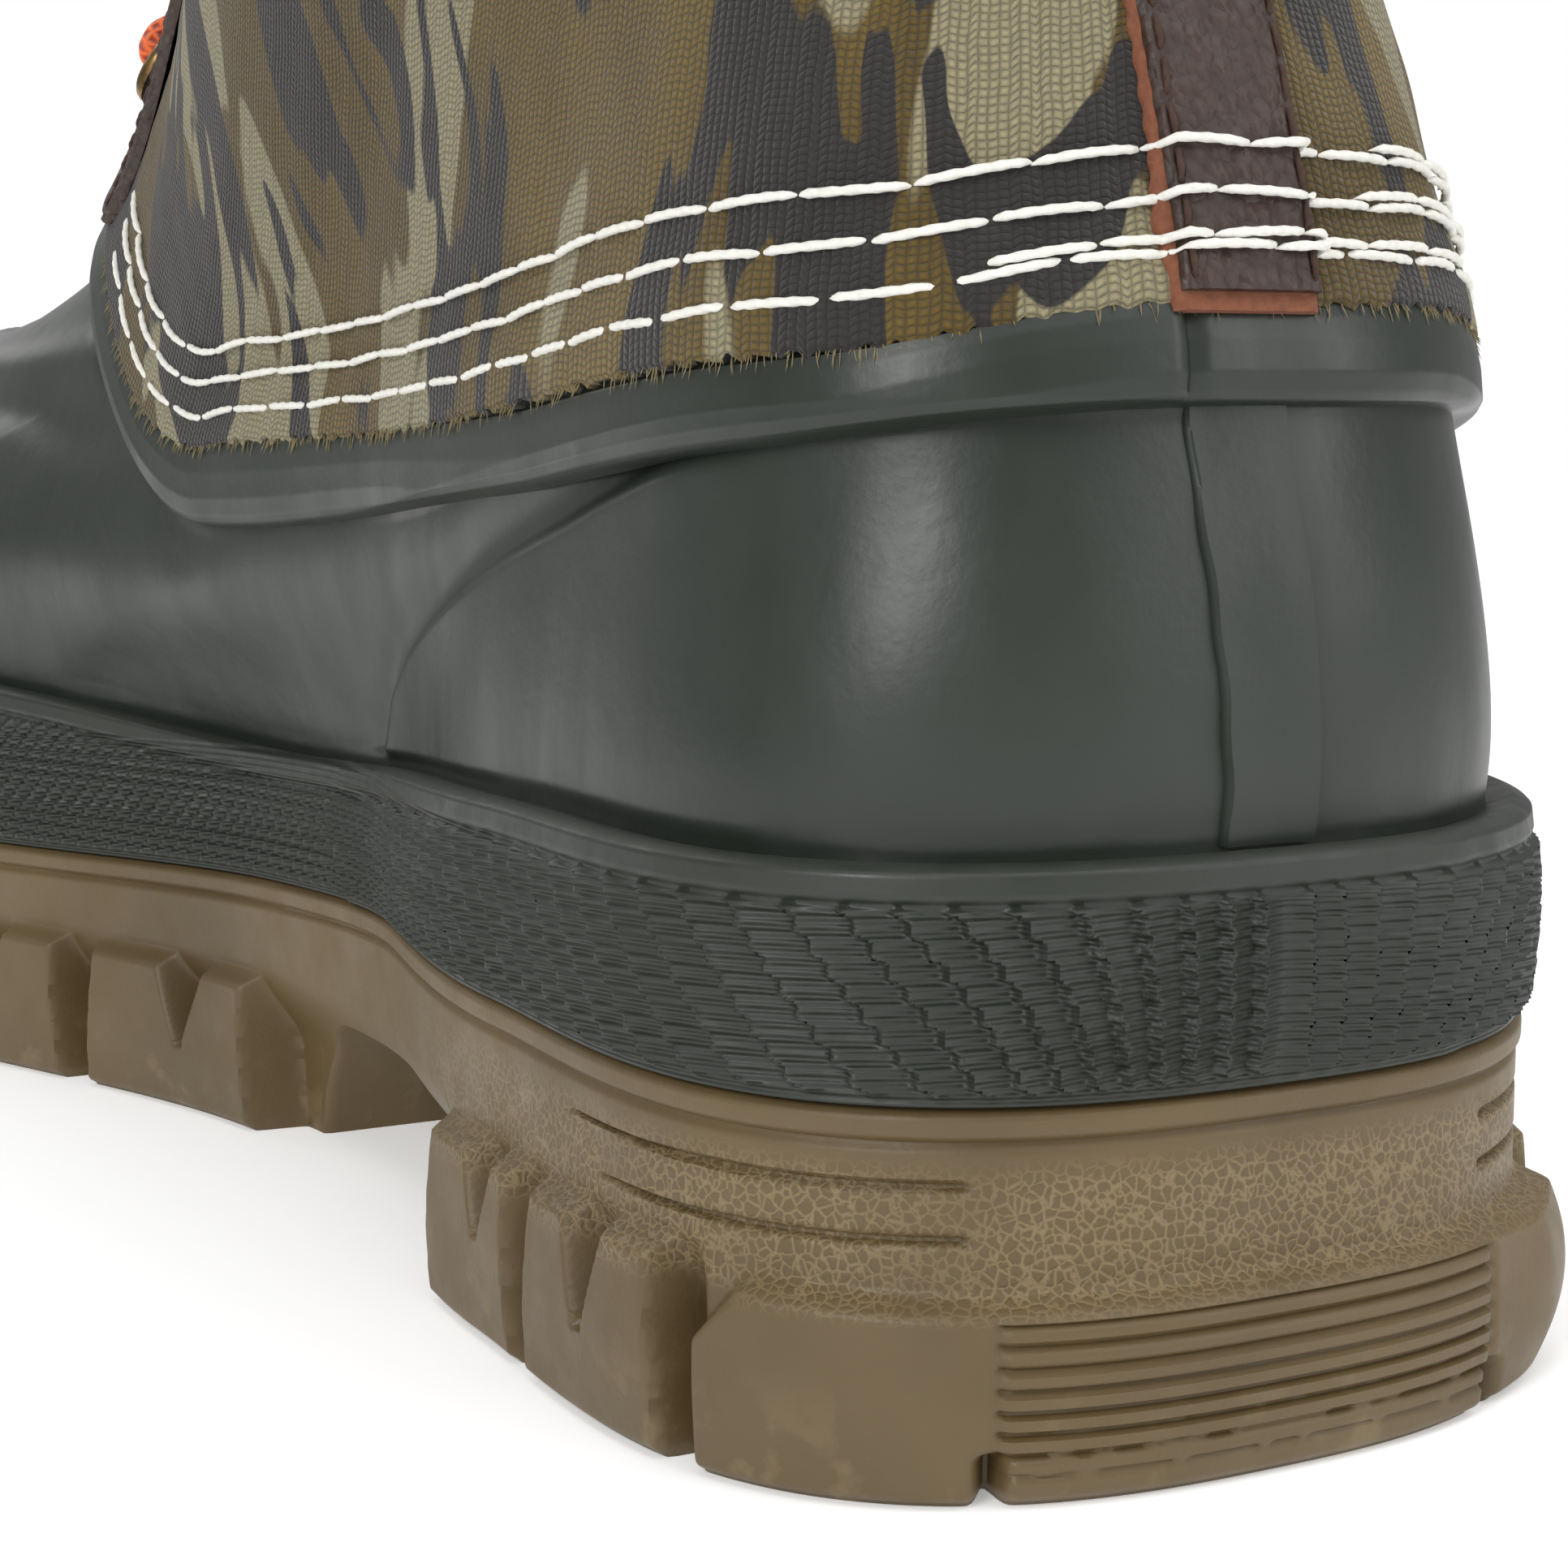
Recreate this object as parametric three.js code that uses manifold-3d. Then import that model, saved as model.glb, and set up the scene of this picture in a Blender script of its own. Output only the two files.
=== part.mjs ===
// An insulated duck-style hunting boot for the right foot, as separate named pieces.
// Lengths are in millimetres: +Z is up, the toe points to -Y and the inner side of the foot is at +X.
// "s" is the distance forward from the back of the heel, so a point at s lies at y = -s.
import * as THREE from "three";
import { mergeVertices } from "three/addons/utils/BufferGeometryUtils.js";
import Module from "manifold-3d";

const wasm = await Module();
wasm.setup();

// ---- Driving dimensions ----

// Plan outline at the top of the foxing band
const BOOT_LENGTH = 300;
const HEEL_LENGTH = 52;
const HEEL_HALF = 41;
const HEEL_SQUARENESS = 2.7;
const WAIST_S = 122;
const WAIST_HALF_INNER = 30.6;
const WAIST_HALF_OUTER = 35;
const BALL_S = 210;
const BALL_HALF_INNER = 48.5;
const BALL_HALF_OUTER = 51;
const TOE_SQUARENESS = 2.3;

// Sideways place of the centre line, at the back, the heel, the waist, the ball and the toe
const BACK_X = 4;
const HEEL_X = -1.5;
const WAIST_X = 3.5;
const BALL_X = 12;
const TOE_X = 9;

// Outsole
const SOLE_HEEL_HEIGHT = 27;
const SOLE_FORE_HEIGHT = 24.5;
const LUG_HEIGHT = 15;
const LUG_BULGE = 2.6;
const LUG_FOOT_INSET = 0.4;
const TREAD_DEPTH = 4.5;
const TREAD_MARGIN = 15;
const ARCH_START = 65;
const ARCH_END = 120;
const ARCH_HEIGHT = 13.5;
const TOE_SPRING = 8;
const TOE_SPRING_START = 215;
const LUG_GAP = 2;
const LUG_CUT = 7;
const FORE_LUG_PITCH = 33;
const TOE_LUGS = 3;
const TOE_LUG_SPACING = 0.055;
const FORE_CUT_WIDTH = 3;
const FORE_CUT_DEPTH = 11;
const LUG_FOOT_HEIGHT = 1.6;
const LUG_BELLY_HEIGHT = 7;
const HEEL_VEE_WIDTH = 6;
const FORE_VEE_WIDTH = 9;
const VEE_DEPTH = 4;
const CUTTER_REACH = 10;
const BAR_LENGTH_HEEL = 21;
const BAR_LENGTH_FORE = 25;
const BAR_WIDTH = 9;
const BAR_OFFSET = 12;
const BAR_SLANT = 0.5;

// Foxing band and rubber shell
const FOXING_HEEL_TOP = 43.3;
const FOXING_WAIST_TOP = 39;
const FOXING_FORE_TOP = 43.7;
const FOXING_WALL = 2.6;
const FOXING_BULGE = 1.2;
const SHELL_WALL = 2.2;
const COUNTER_WALL = 1.4;
const FLANGE_HEIGHT = 12;
const STAY_WIDTH = 15;
const STAY_WALL = 0.7;

// Rim of the shell: plan and heights of its lower edge
const RIM_BACK_S = 6;
const RIM_FRONT_S = 186;
const RIM_HEEL_HALF = 35;
const RIM_SIDE_HALF = 34;
const RIM_BACK_HEIGHT = 73;
const RIM_SIDE_HEIGHT = 61;
const RIM_FRONT_HEIGHT = 93;
const RIM_BAND = 6.8;
const RIM_WALL = 1.9;

// Ankle and collar
const ANKLE_HEIGHT = 140;
const ANKLE_BACK_S = 22;
const ANKLE_FRONT_S = 140;
const ANKLE_HALF = 39;
const COLLAR_BACK_HEIGHT = 212;
const COLLAR_FRONT_HEIGHT = 222;
const COLLAR_BACK_S = 12;
const COLLAR_FRONT_S = 124;
const COLLAR_HALF = 43;
const COLLAR_PAD_HEIGHT = 11;

// Cloth, leather and padding, each a wall in millimetres
const CANVAS_WALL = 2;
const LEATHER_WALL = 1.4;
const INSULATION_WALL = 3.5;
const LINING_WALL = 1.4;
const STRAP_WIDTH = 15.5;
const STRAP_WALL = 1.6;
const TONGUE_WALL = 5;
const TONGUE_HALF = 31;
const GUSSET_WALL = 1.2;
const GUSSET_WIDTH = 6;

// Throat, eyelets, hooks and lace
const THROAT_HALF = 15;
const EYESTAY_WIDTH = 19;
const EYELET_INSET = 7.5;
const EYELET_ROWS = 4;
const EYELET_RADIUS = 4.6;
const EYELET_BORE = 2.4;
const EYELET_HEIGHT = 1.4;
const HOOK_ROWS = 2;
const HOOK_WIDTH = 5;
const LACE_RADIUS = 1.6;
const CORD_SIDES = 8;

// Footbed and what lies under it
const FOOTBED_WALL = 5;
const BOARD_WALL = 2;
const SHANK_WALL = 1.6;
const SHANK_WIDTH = 14;
const SHANK_LENGTH = 110;
const SHANK_START = 38;

// Pull loop
const LOOP_WIDTH = 14;
const LOOP_HEIGHT = 26;
const LOOP_DEPTH = 11;
const LOOP_WALL = 2.2;

// The gap kept between pieces that touch
const GAP = 0.3;

// Heights above the outsole's top
const MIDSOLE_HEIGHT = 4;
const BOARD_BASE = MIDSOLE_HEIGHT + GAP;
const FOOTBED_BASE = BOARD_BASE + BOARD_WALL + GAP;

// ---- Small helpers ----

const clamp01 = (t) => Math.min(1, Math.max(0, t));
const mix = (a, b, t) => a + (b - a) * t;
const smooth = (t) => clamp01(t) ** 2 * (3 - 2 * clamp01(t));

// A smooth function through a few [place, value] pairs, level beyond both ends.
function through(pairs) {
  const slopes = pairs.map(([place], i) => {
    if (i === 0 || i === pairs.length - 1) return 0;
    const [before, after] = [pairs[i - 1], pairs[i + 1]];
    const rises = (pairs[i][1] - before[1]) * (after[1] - pairs[i][1]) > 0;
    return rises ? (after[1] - before[1]) / (after[0] - before[0]) : 0;
  });
  return (place) => {
    const last = pairs.length - 2;
    let i = 0;
    while (i < last && place > pairs[i + 1][0]) i += 1;
    const [[p0, v0], [p1, v1]] = [pairs[i], pairs[i + 1]];
    const t = clamp01((place - p0) / (p1 - p0));
    const span = p1 - p0;
    const [a, b] = [t * (1 - t) ** 2, t * t * (t - 1)];
    return mix(v0, v1, smooth(t)) + span * (a * slopes[i] + b * slopes[i + 1]);
  };
}

const vec = (x, s, z) => new THREE.Vector3(x, -s, z);

// ---- Outline of the boot in plan ----

const centreAt = through([
  [0, BACK_X],
  [HEEL_LENGTH, HEEL_X],
  [(HEEL_LENGTH + WAIST_S) / 2, HEEL_X],
  [WAIST_S, WAIST_X],
  [BALL_S, BALL_X],
  [BOOT_LENGTH, TOE_X],
]);
const innerHalfAt = through([
  [HEEL_LENGTH, HEEL_HALF],
  [WAIST_S, WAIST_HALF_INNER],
  [BALL_S, BALL_HALF_INNER],
]);
const outerHalfAt = through([
  [HEEL_LENGTH, HEEL_HALF],
  [WAIST_S, WAIST_HALF_OUTER],
  [BALL_S, BALL_HALF_OUTER],
]);

// u runs once round the boot: 0 at the back, 0.25 on the inner side, 0.5 at the toe.
const sideOf = (u) => (u - Math.floor(u) <= 0.5 ? 1 : -1);
const alongOf = (u) => (u - Math.floor(u) <= 0.5 ? 2 : -2) * (u - Math.round(u));

const HEEL_SHARE = 0.25;

// A closed outline whose back and front are rounded like a squared ellipse.
function outline(u, shape) {
  const side = sideOf(u);
  const t = Math.abs(alongOf(u));
  const half = side > 0 ? shape.innerHalf : shape.outerHalf;
  let s;
  let width;
  if (t < HEEL_SHARE) {
    const angle = clamp01(t / HEEL_SHARE) * (Math.PI / 2);
    s = mix(shape.heelEnd, shape.back, Math.abs(Math.cos(angle)) ** (2 / HEEL_SQUARENESS));
    width = half(shape.heelEnd) * Math.sin(angle) ** (2 / HEEL_SQUARENESS);
  } else if (t < 1 - shape.toeShare) {
    s = mix(shape.heelEnd, shape.toeStart, (t - HEEL_SHARE) / (1 - HEEL_SHARE - shape.toeShare));
    width = half(s);
  } else {
    const angle = clamp01((1 - t) / shape.toeShare) * (Math.PI / 2);
    s = mix(shape.toeStart, shape.front, Math.abs(Math.cos(angle)) ** (2 / TOE_SQUARENESS));
    width = half(shape.toeStart) * Math.sin(angle) ** (2 / TOE_SQUARENESS);
  }
  return vec(shape.centre(s) + side * width, s, 0);
}

const footShape = {
  back: 0,
  heelEnd: HEEL_LENGTH,
  toeStart: BALL_S,
  front: BOOT_LENGTH,
  toeShare: 0.3,
  centre: centreAt,
  innerHalf: innerHalfAt,
  outerHalf: outerHalfAt,
};

// The plan outline moved outwards by a distance.
const STEP = 0.002;
function planAt(u, outwards = 0) {
  const point = outline(u, footShape);
  const tangent = outline(u + STEP, footShape).sub(outline(u - STEP, footShape)).normalize();
  return point.add(new THREE.Vector3(-tangent.y, tangent.x, 0).multiplyScalar(outwards));
}

// The place round the outline where one side is at a given s.
function planU(s, side) {
  let [low, high] = [0, 0.5];
  for (let i = 0; i < 30; i += 1) {
    const middle = (low + high) / 2;
    if (-outline(side * middle, footShape).y < s) low = middle;
    else high = middle;
  }
  return side * low;
}

const waistWeight = (s) => Math.exp(-(((s - WAIST_S) / 45) ** 2));
const foreWeight = (s) => smooth((s - 70) / 110);
const springAt = (s) => TOE_SPRING * smooth((s - TOE_SPRING_START) / (BOOT_LENGTH - TOE_SPRING_START));
const soleTopAt = (s) => mix(SOLE_HEEL_HEIGHT, SOLE_FORE_HEIGHT, foreWeight(s)) + springAt(s);
const foxingTopAt = (s) => {
  const level = mix(FOXING_HEEL_TOP, FOXING_FORE_TOP, foreWeight(s));
  return mix(level, FOXING_WAIST_TOP, waistWeight(s)) + springAt(s);
};

// ---- Surface of the upper ----

const rimShape = {
  back: RIM_BACK_S,
  heelEnd: RIM_BACK_S + HEEL_LENGTH - 4,
  toeStart: RIM_FRONT_S - 56,
  front: RIM_FRONT_S,
  toeShare: 0.45,
  centre: centreAt,
  innerHalf: through([[HEEL_LENGTH, RIM_HEEL_HALF], [WAIST_S, RIM_SIDE_HALF]]),
  outerHalf: through([[HEEL_LENGTH, RIM_HEEL_HALF], [WAIST_S, RIM_SIDE_HALF]]),
};
const rimHeightAt = through([
  [RIM_BACK_S, RIM_BACK_HEIGHT],
  [25, RIM_BACK_HEIGHT - 0.5],
  [126, RIM_SIDE_HEIGHT],
  [RIM_FRONT_S, RIM_FRONT_HEIGHT],
]);

// An oval ring of the shaft; its height changes evenly from back to front.
function ring(u, backS, frontS, half, backHeight, frontHeight, x) {
  const angle = 2 * Math.PI * u;
  const forward = (1 - Math.cos(angle)) / 2;
  const s = mix(backS, frontS, forward);
  return vec(x + half * Math.sin(angle), s, mix(backHeight, frontHeight, forward));
}

// The curves that the upper passes through, from the foxing to the collar.
function featherPoint(u) {
  const point = planAt(u, -FOXING_WALL - GAP);
  point.z = foxingTopAt(-point.y);
  return point;
}
function rimPoint(u) {
  const point = outline(u, rimShape);
  point.z = rimHeightAt(-point.y);
  return point;
}
const ANKLE_X = 4;
const anklePoint = (u) =>
  ring(u, ANKLE_BACK_S, ANKLE_FRONT_S, ANKLE_HALF, ANKLE_HEIGHT, ANKLE_HEIGHT, ANKLE_X);
const collarPoint = (u) =>
  ring(u, COLLAR_BACK_S, COLLAR_FRONT_S, COLLAR_HALF, COLLAR_BACK_HEIGHT, COLLAR_FRONT_HEIGHT, ANKLE_X);

// How far the surface leans inwards where it crosses each curve, in degrees.
const frontness = (u) => smooth((Math.abs(alongOf(u)) - 0.45) / 0.5);
const leans = {
  feather: (u) => mix(-10, -6, frontness(u)),
  rim: (u) => mix(10, 64, frontness(u)),
  ankle: (u) => mix(1, 26, frontness(u)),
  collar: () => 0,
};
function leanDirection(u, degrees) {
  const outwards = outline(u, footShape).sub(vec(centreAt(150), 130, 0)).setZ(0).normalize();
  const angle = THREE.MathUtils.degToRad(degrees);
  return outwards.multiplyScalar(-Math.sin(angle)).setZ(Math.cos(angle));
}

function hermite(p0, d0, p1, d1, t) {
  const chord = p0.distanceTo(p1);
  const at = (k) => {
    const [a, b] = [t * (1 - t) ** 2, t * t * (t - 1)];
    return mix(p0[k], p1[k], t * t * (3 - 2 * t)) + chord * (a * d0[k] + b * d1[k]);
  };
  return new THREE.Vector3(at("x"), at("y"), at("z"));
}

// v is below 0 under the foxing, 0 at its top, 1 at the rim, 2 at the ankle and 3 at the collar.
// Above the collar the surface goes on straight up.
const CURVES = [featherPoint, rimPoint, anklePoint, collarPoint];
const LEANS = [leans.feather, leans.rim, leans.ankle, leans.collar];
function upperPoint(u, v) {
  if (v < 0) {
    const point = featherPoint(u);
    point.z = mix(point.z, soleTopAt(-point.y) + GAP, -v);
    return point;
  }
  if (v > 3) return collarPoint(u).setZ(collarPoint(u).z + (v - 3) * (COLLAR_FRONT_HEIGHT - ANKLE_HEIGHT));
  const i = Math.min(2, Math.floor(v));
  const [d0, d1] = [leanDirection(u, LEANS[i](u)), leanDirection(u, LEANS[i + 1](u))];
  return hermite(CURVES[i](u), d0, CURVES[i + 1](u), d1, v - i);
}

// A point of the upper at a depth below its surface; a negative depth lies outside it.
function layerPoint(u, v, depth) {
  const step = 0.01;
  const base = v < 0 ? -0.5 : Math.max(v, step);
  const across = upperPoint(u + STEP, base).sub(upperPoint(u - STEP, base));
  const up = upperPoint(u, base + step).sub(upperPoint(u, base - step * (v < 0 ? -1 : 1)));
  if (v < 0) up.set(0, 0, 1);
  const normal = across.cross(up).normalize();
  return upperPoint(u, v).addScaledVector(normal, depth);
}

// The place round the surface at a distance from the middle of the throat, at height v.
const arcTables = new Map();
function arcU(v, arc, side) {
  const key = `${v.toFixed(4)}${side}`;
  if (!arcTables.has(key)) {
    const steps = 160;
    const table = [[0, 0.5]];
    let before = upperPoint(0.5, v);
    for (let i = 1; i <= steps; i += 1) {
      const u = 0.5 - (side * 0.5 * i) / steps;
      const point = upperPoint(u, v);
      table.push([table[i - 1][0] + point.distanceTo(before), u]);
      before = point;
    }
    arcTables.set(key, table);
  }
  const table = arcTables.get(key);
  let i = 0;
  while (i < table.length - 2 && table[i + 1][0] < arc) i += 1;
  const [[a0, u0], [a1, u1]] = [table[i], table[i + 1]];
  return mix(u0, u1, (arc - a0) / (a1 - a0));
}

// ---- Solids ----

function geometryOf(positions, triangles) {
  const geometry = new THREE.BufferGeometry();
  geometry.setAttribute("position", new THREE.Float32BufferAttribute(positions, 3));
  geometry.setIndex(triangles);
  return geometry;
}

// A closed solid between two grids of points; the grids may close on themselves round the columns.
function sheetSolid(columns, rows, closed, outerAt, innerAt) {
  const width = columns + (closed ? 0 : 1);
  const positions = [];
  for (const at of [outerAt, innerAt])
    for (let j = 0; j <= rows; j += 1)
      for (let i = 0; i < width; i += 1) positions.push(...at(i, j));
  const id = (layer, i, j) => layer * width * (rows + 1) + j * width + (i % width);
  const triangles = [];
  const quad = (a, b, c, d) => triangles.push(a, b, c, a, c, d);
  for (let i = 0; i < columns; i += 1) {
    for (let j = 0; j < rows; j += 1) {
      quad(id(0, i, j), id(0, i + 1, j), id(0, i + 1, j + 1), id(0, i, j + 1));
      // The inner faces are split along the same diagonal, so that layers nest.
      triangles.push(id(1, i, j), id(1, i + 1, j + 1), id(1, i + 1, j));
      triangles.push(id(1, i, j), id(1, i, j + 1), id(1, i + 1, j + 1));
    }
    quad(id(0, i, 0), id(1, i, 0), id(1, i + 1, 0), id(0, i + 1, 0));
    quad(id(0, i, rows), id(0, i + 1, rows), id(1, i + 1, rows), id(1, i, rows));
  }
  if (!closed)
    for (let j = 0; j < rows; j += 1) {
      quad(id(0, 0, j), id(0, 0, j + 1), id(1, 0, j + 1), id(1, 0, j));
      quad(id(0, columns, j), id(1, columns, j), id(1, columns, j + 1), id(0, columns, j + 1));
    }
  return facingOut(geometryOf(positions, triangles));
}

// A closed solid of rings of points stacked on each other, with flat fans at both ends.
function stackSolid(columns, levels, pointAt) {
  const positions = [];
  for (let j = 0; j < levels; j += 1)
    for (let i = 0; i < columns; i += 1) positions.push(...pointAt(i / columns, j));
  const triangles = [];
  for (let j = 0; j + 1 < levels; j += 1)
    for (let i = 0; i < columns; i += 1) {
      const [a, b] = [j * columns + i, j * columns + ((i + 1) % columns)];
      triangles.push(a, b, b + columns, a, b + columns, a + columns);
    }
  // Each end is closed across, from one side of the outline to the other.
  for (const [start, turned] of [[0, true], [(levels - 1) * columns, false]])
    for (let i = 1; i < columns / 2; i += 1) {
      const [a, b] = [start + i, start + i - 1];
      const [c, d] = [start + columns - i, start + ((columns - i + 1) % columns)];
      const faces = i === 1 ? [[b, a, c]] : [[b, a, c], [b, c, d]];
      for (const [p, q, r] of faces) triangles.push(...(turned ? [p, r, q] : [p, q, r]));
      if (i + 1 === columns / 2) {
        const tip = start + columns / 2;
        triangles.push(...(turned ? [a, c, tip] : [a, tip, c]));
      }
    }
  return facingOut(geometryOf(positions, triangles));
}

function facingOut(geometry) {
  if (toManifold(geometry).volume() >= 0) return geometry;
  const index = geometry.index.array;
  for (let i = 0; i < index.length; i += 3) [index[i + 1], index[i + 2]] = [index[i + 2], index[i + 1]];
  return geometry;
}

function toManifold(geometry) {
  const bare = geometry.clone();
  bare.deleteAttribute("normal");
  bare.deleteAttribute("uv");
  const merged = mergeVertices(bare, 1e-4);
  return new wasm.Manifold(
    new wasm.Mesh({
      numProp: 3,
      vertProperties: new Float32Array(merged.attributes.position.array),
      triVerts: new Uint32Array(merged.index.array),
    }),
  );
}

function fromManifold(solid) {
  const mesh = solid.getMesh();
  return geometryOf(Array.from(mesh.vertProperties), Array.from(mesh.triVerts));
}

// A round cord along a few points.
function cordSolid(points, radius, steps) {
  const path = new THREE.CatmullRomCurve3(points, false, "centripetal");
  const section = new THREE.Shape();
  section.absarc(0, 0, radius, 0, 2 * Math.PI, false);
  return new THREE.ExtrudeGeometry(section, { steps, extrudePath: path, curveSegments: CORD_SIDES / 2 });
}

// ---- Materials ----

const finish = (colour, roughness, metalness = 0) =>
  new THREE.MeshStandardMaterial({ color: colour, roughness, metalness });
const materials = {
  gum_rubber: finish(0x6e5c42, 0.6),
  green_rubber: finish(0x3c463e, 0.45),
  camo_canvas: finish(0x615a3c, 0.95),
  brown_leather: finish(0x46342d, 0.55),
  webbing: finish(0x3a3028, 0.85),
  insulation_foam: finish(0xd8d2c4, 0.9),
  fleece_lining: finish(0x8c8068, 0.95),
  fibre_board: finish(0xb59f7c, 0.85),
  footbed_foam: finish(0x3b3e37, 0.9),
  midsole_foam: finish(0xb8b4aa, 0.85),
  spring_steel: finish(0x8d9094, 0.35, 1),
  antique_brass: finish(0x6f5a35, 0.4, 1),
  orange_lace: finish(0xd9541e, 0.8),
  clear_plastic: finish(0xc9853f, 0.3),
};

const boot = new THREE.Group();
function add(name, material, geometry) {
  const mesh = new THREE.Mesh(geometry, materials[material]);
  mesh.name = name;
  boot.add(mesh);
  return mesh;
}

const ROUND = 40;

// ---- Sole ----

// A block cut out of the tread, set across the outline at one place and as deep as a number.
function edgeCutter(u, width, depth, bottom, top) {
  const point = planAt(u);
  const outer = planAt(u, CUTTER_REACH);
  const block = new THREE.BoxGeometry(width, depth + CUTTER_REACH, top - bottom);
  block.translate(0, (CUTTER_REACH - depth) / 2, (top + bottom) / 2);
  block.rotateZ(Math.atan2(outer.y - point.y, outer.x - point.x) - Math.PI / 2);
  block.translate(point.x, point.y, 0);
  return toManifold(block);
}

// A notch shaped like a V, open at the tread and closed higher up.
function veeCutter(u, width, depth, top) {
  const point = planAt(u);
  const outer = planAt(u, CUTTER_REACH);
  const shape = new THREE.Shape();
  shape.moveTo(-width / 2, -1);
  shape.lineTo(width / 2, -1);
  shape.lineTo(0, top);
  shape.closePath();
  const vee = new THREE.ExtrudeGeometry(shape, { depth: depth + CUTTER_REACH, bevelEnabled: false });
  vee.rotateX(Math.PI / 2);
  vee.translate(0, CUTTER_REACH, 0);
  vee.rotateZ(Math.atan2(outer.y - point.y, outer.x - point.x) - Math.PI / 2);
  vee.translate(point.x, point.y, 0);
  return toManifold(vee);
}

// The arch between heel and forefoot: a wide tunnel with sloping ends.
function archCutter() {
  const shape = new THREE.Shape();
  const round = 8;
  shape.moveTo(ARCH_START, -1);
  shape.lineTo(ARCH_END, -1);
  shape.quadraticCurveTo(ARCH_END - round, ARCH_HEIGHT, ARCH_END - 2 * round, ARCH_HEIGHT);
  shape.lineTo(ARCH_START + 2 * round, ARCH_HEIGHT);
  shape.quadraticCurveTo(ARCH_START + round / 2, ARCH_HEIGHT, ARCH_START, -1);
  const cutter = new THREE.ExtrudeGeometry(shape, { depth: 200, bevelEnabled: false, curveSegments: 5 });
  cutter.rotateX(Math.PI / 2);
  cutter.rotateZ(-Math.PI / 2);
  cutter.translate(100, 0, 0);
  return toManifold(cutter);
}

// Where a lug ends, on each side of the boot, as distances from the back of the heel.
const HEEL_LUG_ENDS = [2, 20, 43];
const HEEL_VEES = [31, 54];
const HEEL_BARS = [22, 42];
const FORE_BARS = [146, 174, 202, 230, 258];
const foreLugEnds = () => {
  const ends = [];
  const last = BOOT_LENGTH - FORE_LUG_PITCH / 2;
  for (let s = ARCH_END + FORE_LUG_PITCH; s < last; s += FORE_LUG_PITCH) ends.push(s);
  return ends;
};

function treadRecess(start, end) {
  const levels = [-1, TREAD_DEPTH];
  const ends = [planU(start, 1) * 2, planU(end, 1) * 2];
  const solid = stackSolid(ROUND / 2, levels.length, (u, j) => {
    const t = mix(ends[0], ends[1], (1 - Math.cos(2 * Math.PI * u)) / 2);
    const point = planAt(sideOf(u) * (t / 2), -TREAD_MARGIN);
    return vec(point.x, -point.y, levels[j] + springAt(-point.y));
  });
  return toManifold(solid);
}

function outsole() {
  const levels = [
    [0, -LUG_FOOT_INSET],
    [LUG_FOOT_HEIGHT, LUG_BULGE - LUG_FOOT_INSET * 2],
    [LUG_BELLY_HEIGHT, LUG_BULGE],
    [LUG_HEIGHT - 1, LUG_BULGE - 1.2],
    [LUG_HEIGHT, 0],
  ];
  const levelPoint = (u, j) => {
    const point = j < levels.length ? planAt(u, levels[j][1]) : planAt(u);
    const s = -point.y;
    return vec(point.x, s, j < levels.length ? levels[j][0] + springAt(s) : soleTopAt(s));
  };
  let sole = toManifold(stackSolid(ROUND, levels.length + 1, levelPoint));
  sole = sole.subtract(archCutter());
  for (const side of [1, -1]) {
    for (const s of HEEL_LUG_ENDS)
      sole = sole.subtract(edgeCutter(planU(s, side), LUG_GAP, LUG_CUT, -1, LUG_HEIGHT - 2));
    for (const s of HEEL_VEES)
      sole = sole.subtract(veeCutter(planU(s, side), HEEL_VEE_WIDTH, VEE_DEPTH, LUG_HEIGHT - 3));
    for (const s of foreLugEnds())
      sole = sole.subtract(
        edgeCutter(planU(s, side), FORE_CUT_WIDTH, FORE_CUT_DEPTH, -1, LUG_HEIGHT - 3 + springAt(s)),
      );
    for (const s of foreLugEnds().slice(0, -1))
      sole = sole.subtract(
        veeCutter(planU(s - FORE_LUG_PITCH / 2, side), FORE_VEE_WIDTH, VEE_DEPTH, LUG_HEIGHT - 3 + springAt(s)),
      );
  }
  for (let i = 0; i < TOE_LUGS - 1; i += 1) {
    const u = 0.5 + TOE_LUG_SPACING * (i - (TOE_LUGS - 2) / 2);
    sole = sole.subtract(edgeCutter(u, FORE_CUT_WIDTH, FORE_CUT_DEPTH, -1, LUG_HEIGHT - 4 + TOE_SPRING));
  }
  sole = sole.subtract(treadRecess(4, ARCH_START - 2)).subtract(treadRecess(ARCH_END + 6, BOOT_LENGTH - 4));
  for (const s of [...HEEL_BARS, ...FORE_BARS]) {
    for (const side of [1, -1]) {
      const length = s < ARCH_START ? BAR_LENGTH_HEEL : BAR_LENGTH_FORE;
      const bar = new THREE.BoxGeometry(length, BAR_WIDTH, TREAD_DEPTH + 1);
      bar.rotateZ(-side * BAR_SLANT);
      bar.translate(centreAt(s) + side * BAR_OFFSET, -s, (TREAD_DEPTH + 1) / 2 + springAt(s - 8));
      sole = sole.add(toManifold(bar));
    }
  }
  return fromManifold(sole.subtract(shankSlot()));
}

// The steel shank lies in a slot in the top of the outsole's waist.
const shankBox = (extra) => {
  const middle = SHANK_START + SHANK_LENGTH / 2;
  const low = Math.min(soleTopAt(SHANK_START), soleTopAt(SHANK_START + SHANK_LENGTH)) - GAP;
  const height = extra > 0 ? 20 : SHANK_WALL;
  const box = new THREE.BoxGeometry(SHANK_WIDTH + 2 * extra, SHANK_LENGTH + 2 * extra, height + extra);
  box.translate(centreAt(middle), -middle, low - SHANK_WALL + (height - extra) / 2);
  return box;
};
const shankSlot = () => toManifold(shankBox(GAP));

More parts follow.
